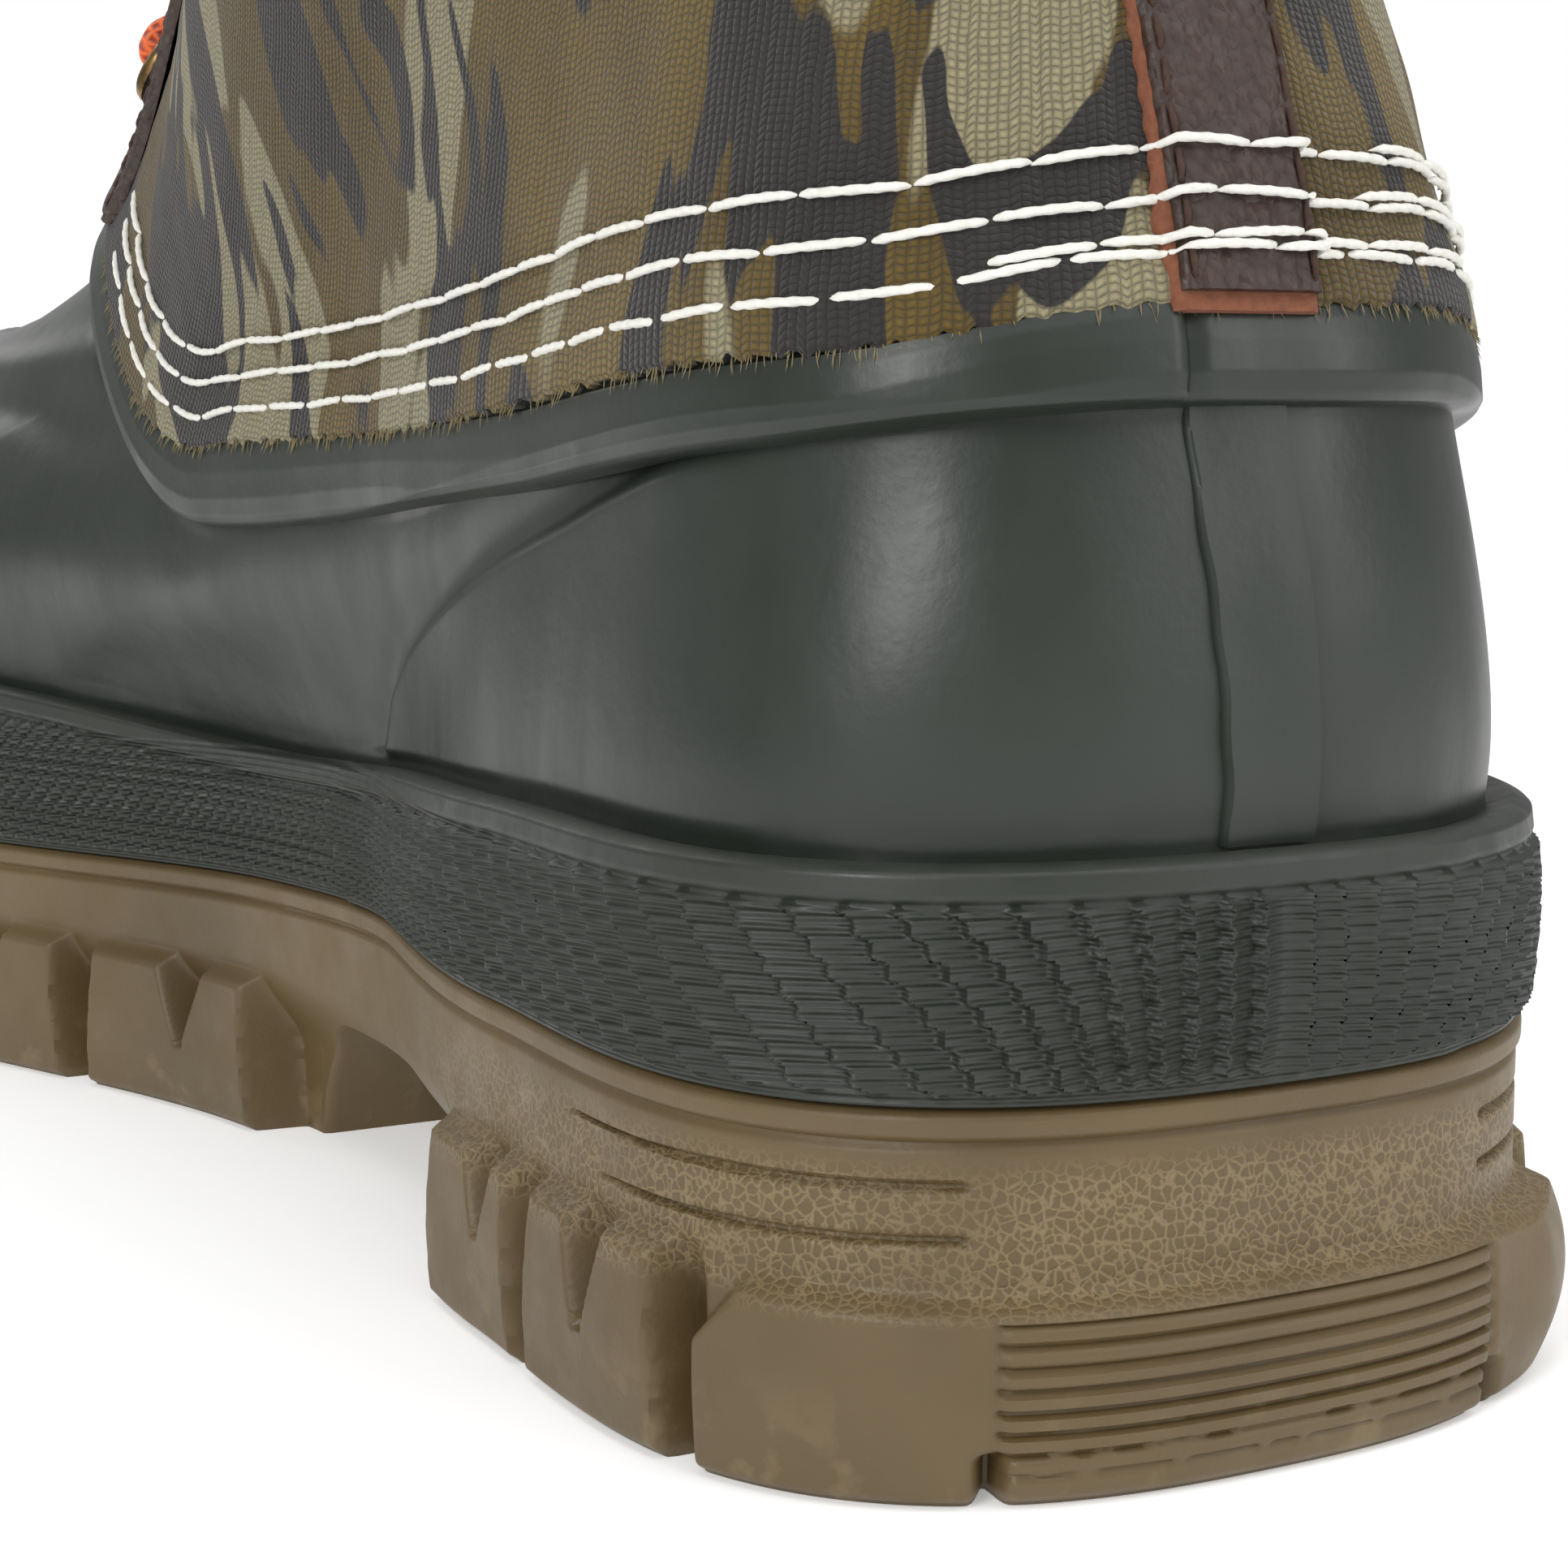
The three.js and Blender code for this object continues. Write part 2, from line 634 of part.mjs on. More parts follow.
function foxingBand() {
  const profile = [
    [0, 0.2],
    [0.35, FOXING_BULGE * 0.7],
    [0.7, FOXING_BULGE],
    [0.84, FOXING_BULGE * 0.8],
    [1, -0.6],
  ];
  const at = (u, f, out) => {
    const point = planAt(u, out);
    const s = -point.y;
    return vec(point.x, s, mix(soleTopAt(s) + GAP, foxingTopAt(s), f));
  };
  return sheetSolid(
    ROUND,
    profile.length - 1,
    true,
    (i, j) => at(i / ROUND, profile[j][0], profile[j][1]),
    (i, j) => at(i / ROUND, profile[j][0], -FOXING_WALL),
  );
}

// ---- Rubber shell ----

// Heights at which every layer is sampled, so that one layer's faces lie flat on the next one's.
const CANVAS_BOTTOM = 1.11;
const SHELL_ROWS = [0, 0.12, 0.32, 0.55, 0.8, 1];
const SHELL_TOP = 1.09;
const RIM_ROWS = [1, 1.03, 1.07, 1.11];
const FLANGE_ROWS = [1.11, 1.205, 1.3];
const SHAFT_ROWS = [...FLANGE_ROWS, 1.5, 1.75, 2, 2.3, 2.65, 2.97];
const THROAT_COLUMNS = 5;
const COUNTER_REACH = 9;

// How far the shell reaches up under the canvas: not at all beside the throat.
const besideThroat = (i) => Math.abs(i - ROUND / 2) <= THROAT_COLUMNS;

function shell() {
  const rows = [-1, ...SHELL_ROWS, SHELL_TOP, ...FLANGE_ROWS];
  const at = (depth) => (i, j) => {
    const cut = besideThroat(i) && rows[j] > SHELL_TOP;
    const v = cut ? mix(SHELL_TOP, CANVAS_BOTTOM - 0.005, rows[j] - 1) : rows[j];
    return layerPoint(i / ROUND, v, depth);
  };
  return sheetSolid(ROUND, rows.length - 1, true, at(0), at(SHELL_WALL));
}

// The rolled band round the top of the shell, which the canvas overlaps.
function rim() {
  const bulge = [0.3, 1, 0.9, 0.3];
  const at = (outer) => (i, j) => {
    const v = Math.min(RIM_ROWS[j], CANVAS_BOTTOM - 0.006);
    return layerPoint(i / ROUND, v, -GAP - (outer ? RIM_WALL * bulge[j] : 0));
  };
  return sheetSolid(ROUND, RIM_ROWS.length - 1, true, at(true), at(false));
}

// A strip up the middle of the back, between two depths, at the heights of a list of rows.
function backStrip(width, rows, outerDepth, innerDepth) {
  const columns = 4;
  const at = (depth) => (i, j) => {
    const perTurn = upperPoint(0.01, rows[j]).distanceTo(upperPoint(-0.01, rows[j])) / 0.02;
    return layerPoint(((i / columns - 0.5) * width) / perTurn, rows[j], depth);
  };
  return sheetSolid(columns, rows.length - 1, false, at(outerDepth), at(innerDepth));
}

// A full ring of padding inside the shell, from the board up to the rim.
function footLayer(outerDepth, innerDepth) {
  const rows = [-1, ...SHELL_ROWS, SHELL_TOP];
  const at = (depthAt) => (i, j) => {
    const point = layerPoint(i / ROUND, rows[j], depthAt(i, j));
    if (rows[j] < 0) point.z = soleTopAt(-point.y) + FOOTBED_BASE;
    return point;
  };
  return sheetSolid(ROUND, rows.length - 1, true, at(outerDepth), at(innerDepth));
}

// ---- Canvas, leather and padding of the shaft ----

const CANVAS_OUTER = -GAP - CANVAS_WALL;
const EYESTAY_OUTER = CANVAS_OUTER - GAP - LEATHER_WALL;
const INSULATION_OUTER = SHELL_WALL + GAP;
const INSULATION_INNER = INSULATION_OUTER + INSULATION_WALL;
const LINING_INNER = INSULATION_INNER + GAP + LINING_WALL;
const CANVAS_INNER = -GAP - 0.2;
// Behind the heel counter the padding is thinner by the counter's wall.
const isByCounter = (i, j) =>
  Math.min(i % ROUND, ROUND - (i % ROUND)) <= COUNTER_REACH && j < SHELL_ROWS.length;
const footPadding = (i, j) => INSULATION_OUTER + (isByCounter(i, j) ? COUNTER_WALL + GAP : 0);
const EYESTAY_ARCS = [0, 1, 2, 3].map((i) => THROAT_HALF + (EYESTAY_WIDTH * i) / 3);

// Half of the shaft, from the throat's edge round to the middle of the back.
function shaftHalf(side, outerDepth, innerDepth, backGap = 0.25) {
  const turns = [];
  for (let i = ROUND / 2 - THROAT_COLUMNS; i >= 1; i -= 1) turns.push(i / ROUND);
  const columns = EYESTAY_ARCS.length + turns.length;
  const at = (depth) => (i, j) => {
    const v = SHAFT_ROWS[j];
    const backU = (backGap * 0.02) / upperPoint(0.01, v).distanceTo(upperPoint(-0.01, v));
    const u = i === columns ? backU : turns[i - EYESTAY_ARCS.length];
    const place = i < EYESTAY_ARCS.length ? arcU(v, EYESTAY_ARCS[i], side) : side * u;
    return layerPoint(place, v, depth(j));
  };
  return sheetSolid(columns, SHAFT_ROWS.length - 1, false, at(outerDepth), at(innerDepth));
}
// Above the shell's flange the padding fills the room that the rubber leaves.
const paddingDepth = (j) => (j < FLANGE_ROWS.length ? INSULATION_OUTER : GAP / 2);

function eyestay(side) {
  const at = (depth) => (i, j) => layerPoint(arcU(SHAFT_ROWS[j], EYESTAY_ARCS[i], side), SHAFT_ROWS[j], depth);
  const rows = SHAFT_ROWS.length - 1;
  return sheetSolid(EYESTAY_ARCS.length - 1, rows, false, at(EYESTAY_OUTER), at(CANVAS_OUTER - GAP));
}

// Where an eyelet or hook sits: X leads away from the throat, Y up and Z out of the leather.
function facingFrame(v, arc, side, depth) {
  const u = arcU(v, arc, side);
  const origin = layerPoint(u, v, depth);
  const outwards = layerPoint(u, v, depth - 1).sub(origin).normalize();
  const away = upperPoint(arcU(v, arc + 2, side), v).sub(upperPoint(u, v));
  away.addScaledVector(outwards, -away.dot(outwards)).normalize();
  const up = outwards.clone().cross(away).normalize();
  return new THREE.Matrix4().makeBasis(away, up, outwards).setPosition(origin);
}

const ROW_LOW = 1.36;
const ROW_HIGH = 2.86;
const rowV = (row) => mix(ROW_LOW, ROW_HIGH, row / (EYELET_ROWS + HOOK_ROWS - 1));
const rowArc = THROAT_HALF + EYELET_INSET;

function eyelet() {
  const [r0, r1, h] = [EYELET_BORE, EYELET_RADIUS, EYELET_HEIGHT];
  const profile = [[r0, 0], [r1, 0], [r1 * 0.82, h * 0.8], [(r0 + r1) / 2, h], [r0, h * 0.5], [r0, 0]];
  const ringShape = new THREE.LatheGeometry(profile.map(([x, y]) => new THREE.Vector2(x, y)), 12);
  ringShape.rotateX(Math.PI / 2);
  return facingOut(mergeVertices(stripped(ringShape), 1e-4));
}
function stripped(geometry) {
  geometry.deleteAttribute("normal");
  geometry.deleteAttribute("uv");
  return geometry;
}

// A speed hook: a foot on the leather and an arm that bends back over it, away from the throat.
function hook() {
  const shape = new THREE.Shape();
  shape.moveTo(-4, 0);
  shape.lineTo(4, 0);
  shape.lineTo(4, 1);
  shape.lineTo(-1.4, 1);
  shape.absarc(-1.4, 3.4, 2.4, -Math.PI / 2, -1.5 * Math.PI, true);
  shape.lineTo(3.4, 5.8);
  shape.lineTo(4.4, 7.2);
  shape.lineTo(3.8, 7.8);
  shape.lineTo(2.8, 6.8);
  shape.lineTo(-1.4, 6.8);
  shape.absarc(-1.4, 3.4, 3.4, -1.5 * Math.PI, -0.94 * Math.PI, false);
  shape.lineTo(-4, 1.4);
  const options = { depth: HOOK_WIDTH, bevelEnabled: false, curveSegments: 6 };
  const arm = new THREE.ExtrudeGeometry(shape, options);
  arm.translate(0, 0, -HOOK_WIDTH / 2);
  arm.rotateX(Math.PI / 2);
  return arm;
}

// ---- Tongue ----

const TONGUE_ROWS = [1.15, 1.205, 1.3, 1.5, 1.75, 2, 2.3, 2.65, 2.97, 3.1, 3.2];
const TONGUE_UNDER = LINING_INNER + 0.7;
const TONGUE_FILL = -1;
const TONGUE_FOOT = 2;
// The tongue is narrow at its foot, and thin where it passes under the lining.
const tongueSpread = (j) => mix(0.72, 1, smooth(j / 4));
const tongueFace = (arc, j) => {
  const fill = TONGUE_ROWS[j] > FLANGE_ROWS[2] ? TONGUE_FILL : TONGUE_FOOT;
  return mix(fill, TONGUE_UNDER, smooth((Math.abs(arc) - THROAT_HALF + 5.5) / 3.5));
};
const tongueEdge = TONGUE_HALF - GUSSET_WIDTH;

const arcPoint = (v, arc, depth) => layerPoint(arcU(v, Math.abs(arc), arc > 0 ? 1 : -1), v, depth);

function tongue() {
  const arcs = [-tongueEdge, -18, -15, -12, -9.5, -5, 0, 5, 9.5, 12, 15, 18, tongueEdge];
  const at = (inner) => (i, j) => {
    const arc = arcs[i] * (Math.abs(arcs[i]) > 12 ? tongueSpread(j) : 1);
    const low = TONGUE_UNDER + TONGUE_WALL;
    return arcPoint(TONGUE_ROWS[j], arc, inner ? low : tongueFace(arc, j));
  };
  return sheetSolid(arcs.length - 1, TONGUE_ROWS.length - 1, false, at(false), at(true));
}

// The bellows cloth beside the tongue, which keeps water out of the throat.
function gusset(side) {
  const depth = TONGUE_UNDER + 1;
  const at = (down) => (i, j) => {
    const start = tongueEdge * tongueSpread(j + 1) + GAP;
    return arcPoint(TONGUE_ROWS[j + 1], side * (start + (i / 2) * GUSSET_WIDTH), down);
  };
  return sheetSolid(2, 6, false, at(depth), at(depth + GUSSET_WALL));
}

// The leather that closes the foot of the throat, in front of the tongue.
function throatLeather() {
  const rows = FLANGE_ROWS;
  const half = THROAT_HALF - GAP;
  const at = (depth) => (i, j) => arcPoint(mix(rows[0], rows[2], (j / 2) * 0.8), half * (i / 3 - 1), depth);
  return sheetSolid(6, 2, false, at(EYESTAY_OUTER), at(-GAP));
}

// ---- Inside the shell ----

const SHELL_INSET = FOXING_WALL + GAP + SHELL_WALL + GAP;
const FOOTBED_INSET = FOXING_WALL + GAP + LINING_INNER + GAP;

// A flat layer that fills the plan outline, at heights above the top of the outsole.
function flatLayer(inset, low, high, crown = 0) {
  const flat = [[inset, low], [inset, high]];
  const levels = crown > 0 ? [[inset, low], [inset, high - crown], [inset + crown, high]] : flat;
  return stackSolid(ROUND, levels.length, (u, j) => {
    const point = planAt(u, -levels[j][0]);
    return vec(point.x, -point.y, soleTopAt(-point.y) + levels[j][1]);
  });
}

// A stiff cup round the heel, between the shell and the padding.
function heelCounter() {
  const rows = [-1, ...SHELL_ROWS.slice(0, -1)];
  const at = (depth) => (i, j) => {
    const point = layerPoint((i - COUNTER_REACH) / ROUND, rows[j], depth);
    if (rows[j] < 0) point.z = soleTopAt(-point.y) + FOOTBED_BASE;
    return point;
  };
  const outer = SHELL_WALL + GAP;
  return sheetSolid(2 * COUNTER_REACH, rows.length - 1, false, at(outer), at(outer + COUNTER_WALL));
}

// ---- Collar and pull loop ----

const SIDES = [[1, "medial"], [-1, "lateral"]];

// The padded roll on top of the shaft, open at the throat.
function collar() {
  const places = EYESTAY_ARCS.map((arc) => arcU(2.97, arc, 1));
  for (let i = ROUND / 2 - THROAT_COLUMNS; i >= THROAT_COLUMNS - ROUND / 2; i -= 1) places.push(i / ROUND);
  places.push(...EYESTAY_ARCS.toReversed().map((arc) => arcU(2.97, arc, -1)));
  const outer = [[-2.2, 0.4], [-3.6, 3], [-3.4, 8], [-1, COLLAR_PAD_HEIGHT]];
  const inner = [[LINING_INNER - 0.6, 0.4], [LINING_INNER, 3], [LINING_INNER, 8], [5.5, COLLAR_PAD_HEIGHT]];
  const at = (profile) => (i, j) => {
    const point = layerPoint(places[i], 2.97, profile[j][0]);
    return point.setZ(point.z + profile[j][1]);
  };
  return sheetSolid(places.length - 1, outer.length - 1, false, at(outer), at(inner));
}

// The pull loop is a flat oval ring that stands up behind the collar on the strap.
const LOOP_FOOT_V = 2.88;
function loopPivot() {
  const foot = upperPoint(0, LOOP_FOOT_V);
  const strapFace = layerPoint(0, SHAFT_ROWS.at(-1), CANVAS_OUTER - 2 * GAP - STRAP_WALL);
  return foot.setY(strapFace.y + LOOP_WALL / 2);
}
function pullLoop() {
  const oval = (inset) => {
    const shape = inset > 0 ? new THREE.Path() : new THREE.Shape();
    const radius = LOOP_DEPTH / 2 - inset;
    const [low, high] = [LOOP_DEPTH / 2, LOOP_HEIGHT - LOOP_DEPTH / 2];
    shape.moveTo(-radius, low);
    shape.absarc(0, low, radius, Math.PI, 2 * Math.PI, false);
    shape.absarc(0, high, radius, 0, Math.PI, false);
    shape.closePath();
    return shape;
  };
  const band = oval(0);
  band.holes.push(oval(LOOP_WALL));
  const loop = new THREE.ExtrudeGeometry(band, { depth: LOOP_WIDTH, bevelEnabled: false, curveSegments: 8 });
  loop.translate(0, 0, -LOOP_WIDTH / 2);
  const [x, y, z] = [new THREE.Vector3(1, 0, 0), new THREE.Vector3(0, 1, 0), new THREE.Vector3(0, 0, 1)];
  loop.applyMatrix4(new THREE.Matrix4().makeBasis(y, z, x));
  const pivot = loopPivot();
  loop.translate(pivot.x, pivot.y + (LOOP_DEPTH - LOOP_WALL) / 2, pivot.z);
  return loop;
}

// ---- Lace ----

const LACE_SEAT = EYESTAY_OUTER - 2 * GAP;
const LACE_LOW = TONGUE_FILL - 2 * GAP - LACE_RADIUS;
const LACE_HIGH = LACE_LOW - 2 * LACE_RADIUS - GAP;
const LACE_EDGE = LACE_SEAT - LACE_RADIUS - GAP;
const lacePoint = (row, arc, depth) => arcPoint(rowV(row), arc, depth);
const lastRow = EYELET_ROWS + HOOK_ROWS - 1;
const hookPoint = (row, side, x, y, z) =>
  new THREE.Vector3(x, y * side, z).applyMatrix4(facingFrame(rowV(row), rowArc, side, LACE_SEAT));

// Points from an eyelet up over the edge of the throat, on one side.
const fromEyelet = (row, side) => [
  lacePoint(row, side * rowArc, LACE_SEAT - GAP),
  lacePoint(row + 0.01, side * (rowArc - 0.2), LACE_SEAT - LACE_RADIUS - 0.4),
  lacePoint(row + 0.08, side * (rowArc - 2 * LACE_RADIUS), LACE_EDGE - LACE_RADIUS),
];
// Points from a hook, round its neck and out to the edge of the throat.
const fromHook = (row, side) => [
  hookPoint(row, side, -1.2, 0.2, 3.4),
  hookPoint(row, side, -1.6, 3.4, 3.4),
  hookPoint(row, side, -5.5, 5.6, 3.4),
];
const toHook = (row, side) => [
  hookPoint(row, side, -5.5, -5.6, 3.4),
  hookPoint(row, side, -1.6, -3.4, 3.4),
  hookPoint(row, side, -1.2, -0.2, 3.4),
];

// One run of lace from a row on one side to the next row on the other side.
function laceRun(row, side) {
  const middle = side > 0 ? LACE_HIGH : LACE_LOW;
  const start = row < EYELET_ROWS ? fromEyelet(row, side) : fromHook(row, side);
  const crossing = [
    lacePoint(row + 0.24, side * 13, LACE_EDGE),
    lacePoint(row + 0.4, side * 5, middle),
    lacePoint(row + 0.5, 0, middle),
    lacePoint(row + 0.6, -side * 5, middle),
  ];
  const under = [
    lacePoint(row + 0.8, -side * 9.5, LACE_LOW - 0.2),
    lacePoint(row + 0.94, -side * 12.2, LACE_LOW + 1),
    lacePoint(row + 1, -side * 12.7, LACE_LOW + 3),
  ];
  const over = [lacePoint(row + 0.76, -side * 13, LACE_EDGE), ...toHook(row + 1, -side)];
  const end = row + 1 < EYELET_ROWS ? under : over;
  return cordSolid([...start, ...crossing, ...end], LACE_RADIUS, 12);
}
// The bar between the two lowest eyelets lies under the leather at both ends.
function laceBar() {
  const arcs = [-12.7, -12.2, -9.5, 0, 9.5, 12.2, 12.7];
  const rises = [3, 1, -0.2, 0, -0.2, 1, 3];
  return cordSolid(arcs.map((arc, i) => lacePoint(0, arc, LACE_LOW + rises[i])), LACE_RADIUS, 10);
}

// The bow: the two top runs end at the knot, and two loops and two tails hang from it.
const KNOT_V = 2.97;
const KNOT_SIZE = [7, 4.6, 4.6];
const KNOT_DEPTH = -7;
const knotPoint = (x, lift, z) => arcPoint(KNOT_V, 0, KNOT_DEPTH).add(new THREE.Vector3(x, -lift, z));
function laceKnot() {
  const knot = stripped(new THREE.SphereGeometry(1, 12, 8)).scale(...KNOT_SIZE);
  const middle = knotPoint(0, 0, 0);
  return mergeVertices(knot.translate(middle.x, middle.y, middle.z), 1e-4);
}
const bowRoutes = {
  run: (side) => [
    ...fromHook(lastRow, side),
    arcPoint(2.98, side * 14, LACE_EDGE - 1),
    knotPoint(side * (KNOT_SIZE[0] + GAP), 0, 0),
  ],
  loop: (side) => [
    knotPoint(side * 5.4, 4.6, 1),
    arcPoint(2.98, side * 14, -15),
    arcPoint(2.9, side * 30, -16),
    arcPoint(2.68, side * 41, -13),
    arcPoint(2.42, side * 42, -10),
    arcPoint(2.3, side * 33, -12),
    arcPoint(2.42, side * 23, -16),
    arcPoint(2.68, side * 12.5, -16.5),
    knotPoint(side * 4.6, 6.4, -4.6),
  ],
  tail: (side) => [
    knotPoint(side * 2.4, 2.3, -4.9),
    arcPoint(2.72, side * 5, -11.4),
    arcPoint(2.45, side * 8, -11.6),
    arcPoint(2.15, side * 13, -11.8),
    arcPoint(1.9, side * 18, -12),
  ],
};
const AGLET_LENGTH = 18;
function aglet(side) {
  const route = bowRoutes.tail(side);
  const [before, end] = route.slice(-2);
  const along = end.clone().sub(before).normalize();
  const start = end.clone().addScaledVector(along, GAP);
  return cordSolid([start, start.clone().addScaledVector(along, AGLET_LENGTH)], LACE_RADIUS * 0.9, 2);
}

// ---- Build the boot ----

add("outsole", "gum_rubber", outsole());
add("shank", "spring_steel", shankBox(0));
add("midsole", "midsole_foam", flatLayer(SHELL_INSET, GAP, MIDSOLE_HEIGHT));
add("insole_board", "fibre_board", flatLayer(SHELL_INSET, BOARD_BASE, BOARD_BASE + BOARD_WALL));
add("footbed", "footbed_foam", flatLayer(FOOTBED_INSET, FOOTBED_BASE, FOOTBED_BASE + FOOTBED_WALL, 1));
add("foxing_band", "green_rubber", foxingBand());
add("rubber_shell", "green_rubber", shell());
add("shell_rim", "green_rubber", rim());
const stayRows = [0.02, ...SHELL_ROWS.slice(1)];
add("heel_stay", "green_rubber", backStrip(STAY_WIDTH, stayRows, -GAP - STAY_WALL, -GAP));
add("insulation_foot", "insulation_foam", footLayer(footPadding, () => INSULATION_INNER));
add("lining_foot", "fleece_lining", footLayer(() => INSULATION_INNER + GAP, () => LINING_INNER));
add("heel_counter", "fibre_board", heelCounter());
for (const [side, word] of SIDES) {
  add(`quarter_${word}`, "camo_canvas", shaftHalf(side, () => CANVAS_OUTER, () => CANVAS_INNER));
  add(`insulation_${word}`, "insulation_foam", shaftHalf(side, paddingDepth, () => INSULATION_INNER));
  add(`lining_${word}`, "fleece_lining", shaftHalf(side, () => INSULATION_INNER + GAP, () => LINING_INNER));
  add(`eyestay_${word}`, "brown_leather", eyestay(side));
  add(`gusset_${word}`, "webbing", gusset(side));
}
add("throat_leather", "brown_leather", throatLeather());
add("tongue", "camo_canvas", tongue());
add("collar", "brown_leather", collar());
const strapOuter = CANVAS_OUTER - GAP - STRAP_WALL;
add("back_strap", "brown_leather", backStrip(STRAP_WIDTH, SHAFT_ROWS, strapOuter, CANVAS_OUTER - GAP));
add("pull_loop", "webbing", pullLoop());
for (const [side, word] of SIDES) {
  for (let row = 0; row <= lastRow; row += 1) {
    const isHook = row >= EYELET_ROWS;
    const name = isHook ? `hook_${word}_${row - EYELET_ROWS + 1}` : `eyelet_${word}_${row + 1}`;
    const mesh = add(name, "antique_brass", isHook ? hook() : eyelet());
    mesh.applyMatrix4(facingFrame(rowV(row), rowArc, side, LACE_SEAT));
  }
  for (let row = 0; row < lastRow; row += 1)
    add(`lace_run_${word}_${row + 1}`, "orange_lace", laceRun(row, side));
  add(`lace_run_${word}_top`, "orange_lace", cordSolid(bowRoutes.run(side), LACE_RADIUS, 8));
  add(`lace_loop_${word}`, "orange_lace", cordSolid(bowRoutes.loop(side), LACE_RADIUS, 24));
  add(`lace_tail_${word}`, "orange_lace", cordSolid(bowRoutes.tail(side), LACE_RADIUS, 12));
  add(`aglet_${word}`, "clear_plastic", aglet(side));
}
add("lace_bar", "orange_lace", laceBar());
add("lace_knot", "orange_lace", laceKnot());

// The origin is the middle of the boot's box, on the ground.
const bounds = new THREE.Box3().setFromObject(boot);
const middle = bounds.getCenter(new THREE.Vector3());
boot.position.set(-middle.x, -middle.y, -bounds.min.z);

export default boot;
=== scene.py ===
"""Insulated hunting boot: the looks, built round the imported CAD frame.

Lengths here are millimetres in the boot's own frame until a mesh is made, where they become metres.
"""
import math

import bpy
import numpy as np
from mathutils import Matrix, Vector


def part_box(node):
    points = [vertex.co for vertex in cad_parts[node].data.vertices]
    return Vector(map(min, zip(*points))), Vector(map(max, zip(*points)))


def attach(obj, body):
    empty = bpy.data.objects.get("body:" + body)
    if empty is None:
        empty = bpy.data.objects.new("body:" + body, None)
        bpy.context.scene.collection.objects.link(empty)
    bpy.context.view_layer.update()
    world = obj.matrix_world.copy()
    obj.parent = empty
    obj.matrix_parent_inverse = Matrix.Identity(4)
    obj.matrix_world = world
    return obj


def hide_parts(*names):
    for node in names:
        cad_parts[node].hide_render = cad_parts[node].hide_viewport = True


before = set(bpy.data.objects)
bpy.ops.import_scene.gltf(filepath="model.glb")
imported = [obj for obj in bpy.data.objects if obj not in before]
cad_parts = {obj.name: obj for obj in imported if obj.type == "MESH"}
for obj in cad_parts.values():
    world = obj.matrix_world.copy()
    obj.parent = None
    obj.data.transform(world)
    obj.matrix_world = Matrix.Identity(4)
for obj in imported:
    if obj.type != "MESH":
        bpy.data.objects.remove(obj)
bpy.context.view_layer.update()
MM = 0.001

# ---- Outline of the boot in plan: the formulas of the CAD, in millimetres ----
# "s" is the distance forward from the back of the heel; a point at s lies at y = -s before the shift.

BOOT_LENGTH = 300
HEEL_LENGTH = 52
WAIST_S = 122
BALL_S = 210
GAP = 0.3
FOXING_WALL = 2.6
FOXING_BULGE = 1.2
ARCH = (65, 120, 13.5)
RIM_BACK_S = 6
RIM_FRONT_S = 186
# Heights on the upper's own scale v: see upper_at.
CANVAS_BOTTOM = 1.11
CANVAS_FOOT = 1.092
CANVAS_TOP = 2.97
THROAT_HALF = 15
EYESTAY_WIDTH = 19
TONGUE_HALF = 25
LINING_BACK = 6.35


def mix(a, b, t):
    return a + (b - a) * t


def smooth(t):
    t = np.clip(t, 0, 1)
    return t * t * (3 - 2 * t)


def bell(offset, width):
    """A smooth hump: 1 at offset 0 and nearly 0 two widths away."""
    return np.exp(-(offset / width) ** 2)


def through(*pairs):
    """A smooth function through a few (place, value) pairs, level beyond both ends."""
    places, values = np.array(pairs, float).T
    slopes = np.zeros(len(places))
    for i in range(1, len(places) - 1):
        if (values[i] - values[i - 1]) * (values[i + 1] - values[i]) > 0:
            slopes[i] = (values[i + 1] - values[i - 1]) / (places[i + 1] - places[i - 1])

    def at(place):
        place = np.asarray(place, float)
        i = np.clip(np.searchsorted(places, place, side="left") - 1, 0, len(places) - 2)
        span = places[i + 1] - places[i]
        t = np.clip((place - places[i]) / span, 0, 1)
        bend = t * (1 - t) ** 2 * slopes[i] + t * t * (t - 1) * slopes[i + 1]
        return mix(values[i], values[i + 1], smooth(t)) + span * bend
    return at


centre_at = through((0, 4), (HEEL_LENGTH, -1.5), ((HEEL_LENGTH + WAIST_S) / 2, -1.5), (WAIST_S, 3.5),
                    (BALL_S, 12), (BOOT_LENGTH, 9))
inner_half = through((HEEL_LENGTH, 41), (WAIST_S, 30.6), (BALL_S, 48.5))
outer_half = through((HEEL_LENGTH, 41), (WAIST_S, 35), (BALL_S, 51))
rim_half = through((HEEL_LENGTH, 35), (WAIST_S, 34))

FOOT = dict(back=0, heel_end=HEEL_LENGTH, toe_start=BALL_S, front=BOOT_LENGTH, toe_share=0.3,
            inner=inner_half, outer=outer_half)
RIM = dict(back=RIM_BACK_S, heel_end=RIM_BACK_S + HEEL_LENGTH - 4, toe_start=RIM_FRONT_S - 56,
           front=RIM_FRONT_S, toe_share=0.45, inner=rim_half, outer=rim_half)
HEEL_SHARE = 0.25
HEEL_POWER = 2 / 2.7
TOE_POWER = 2 / 2.3


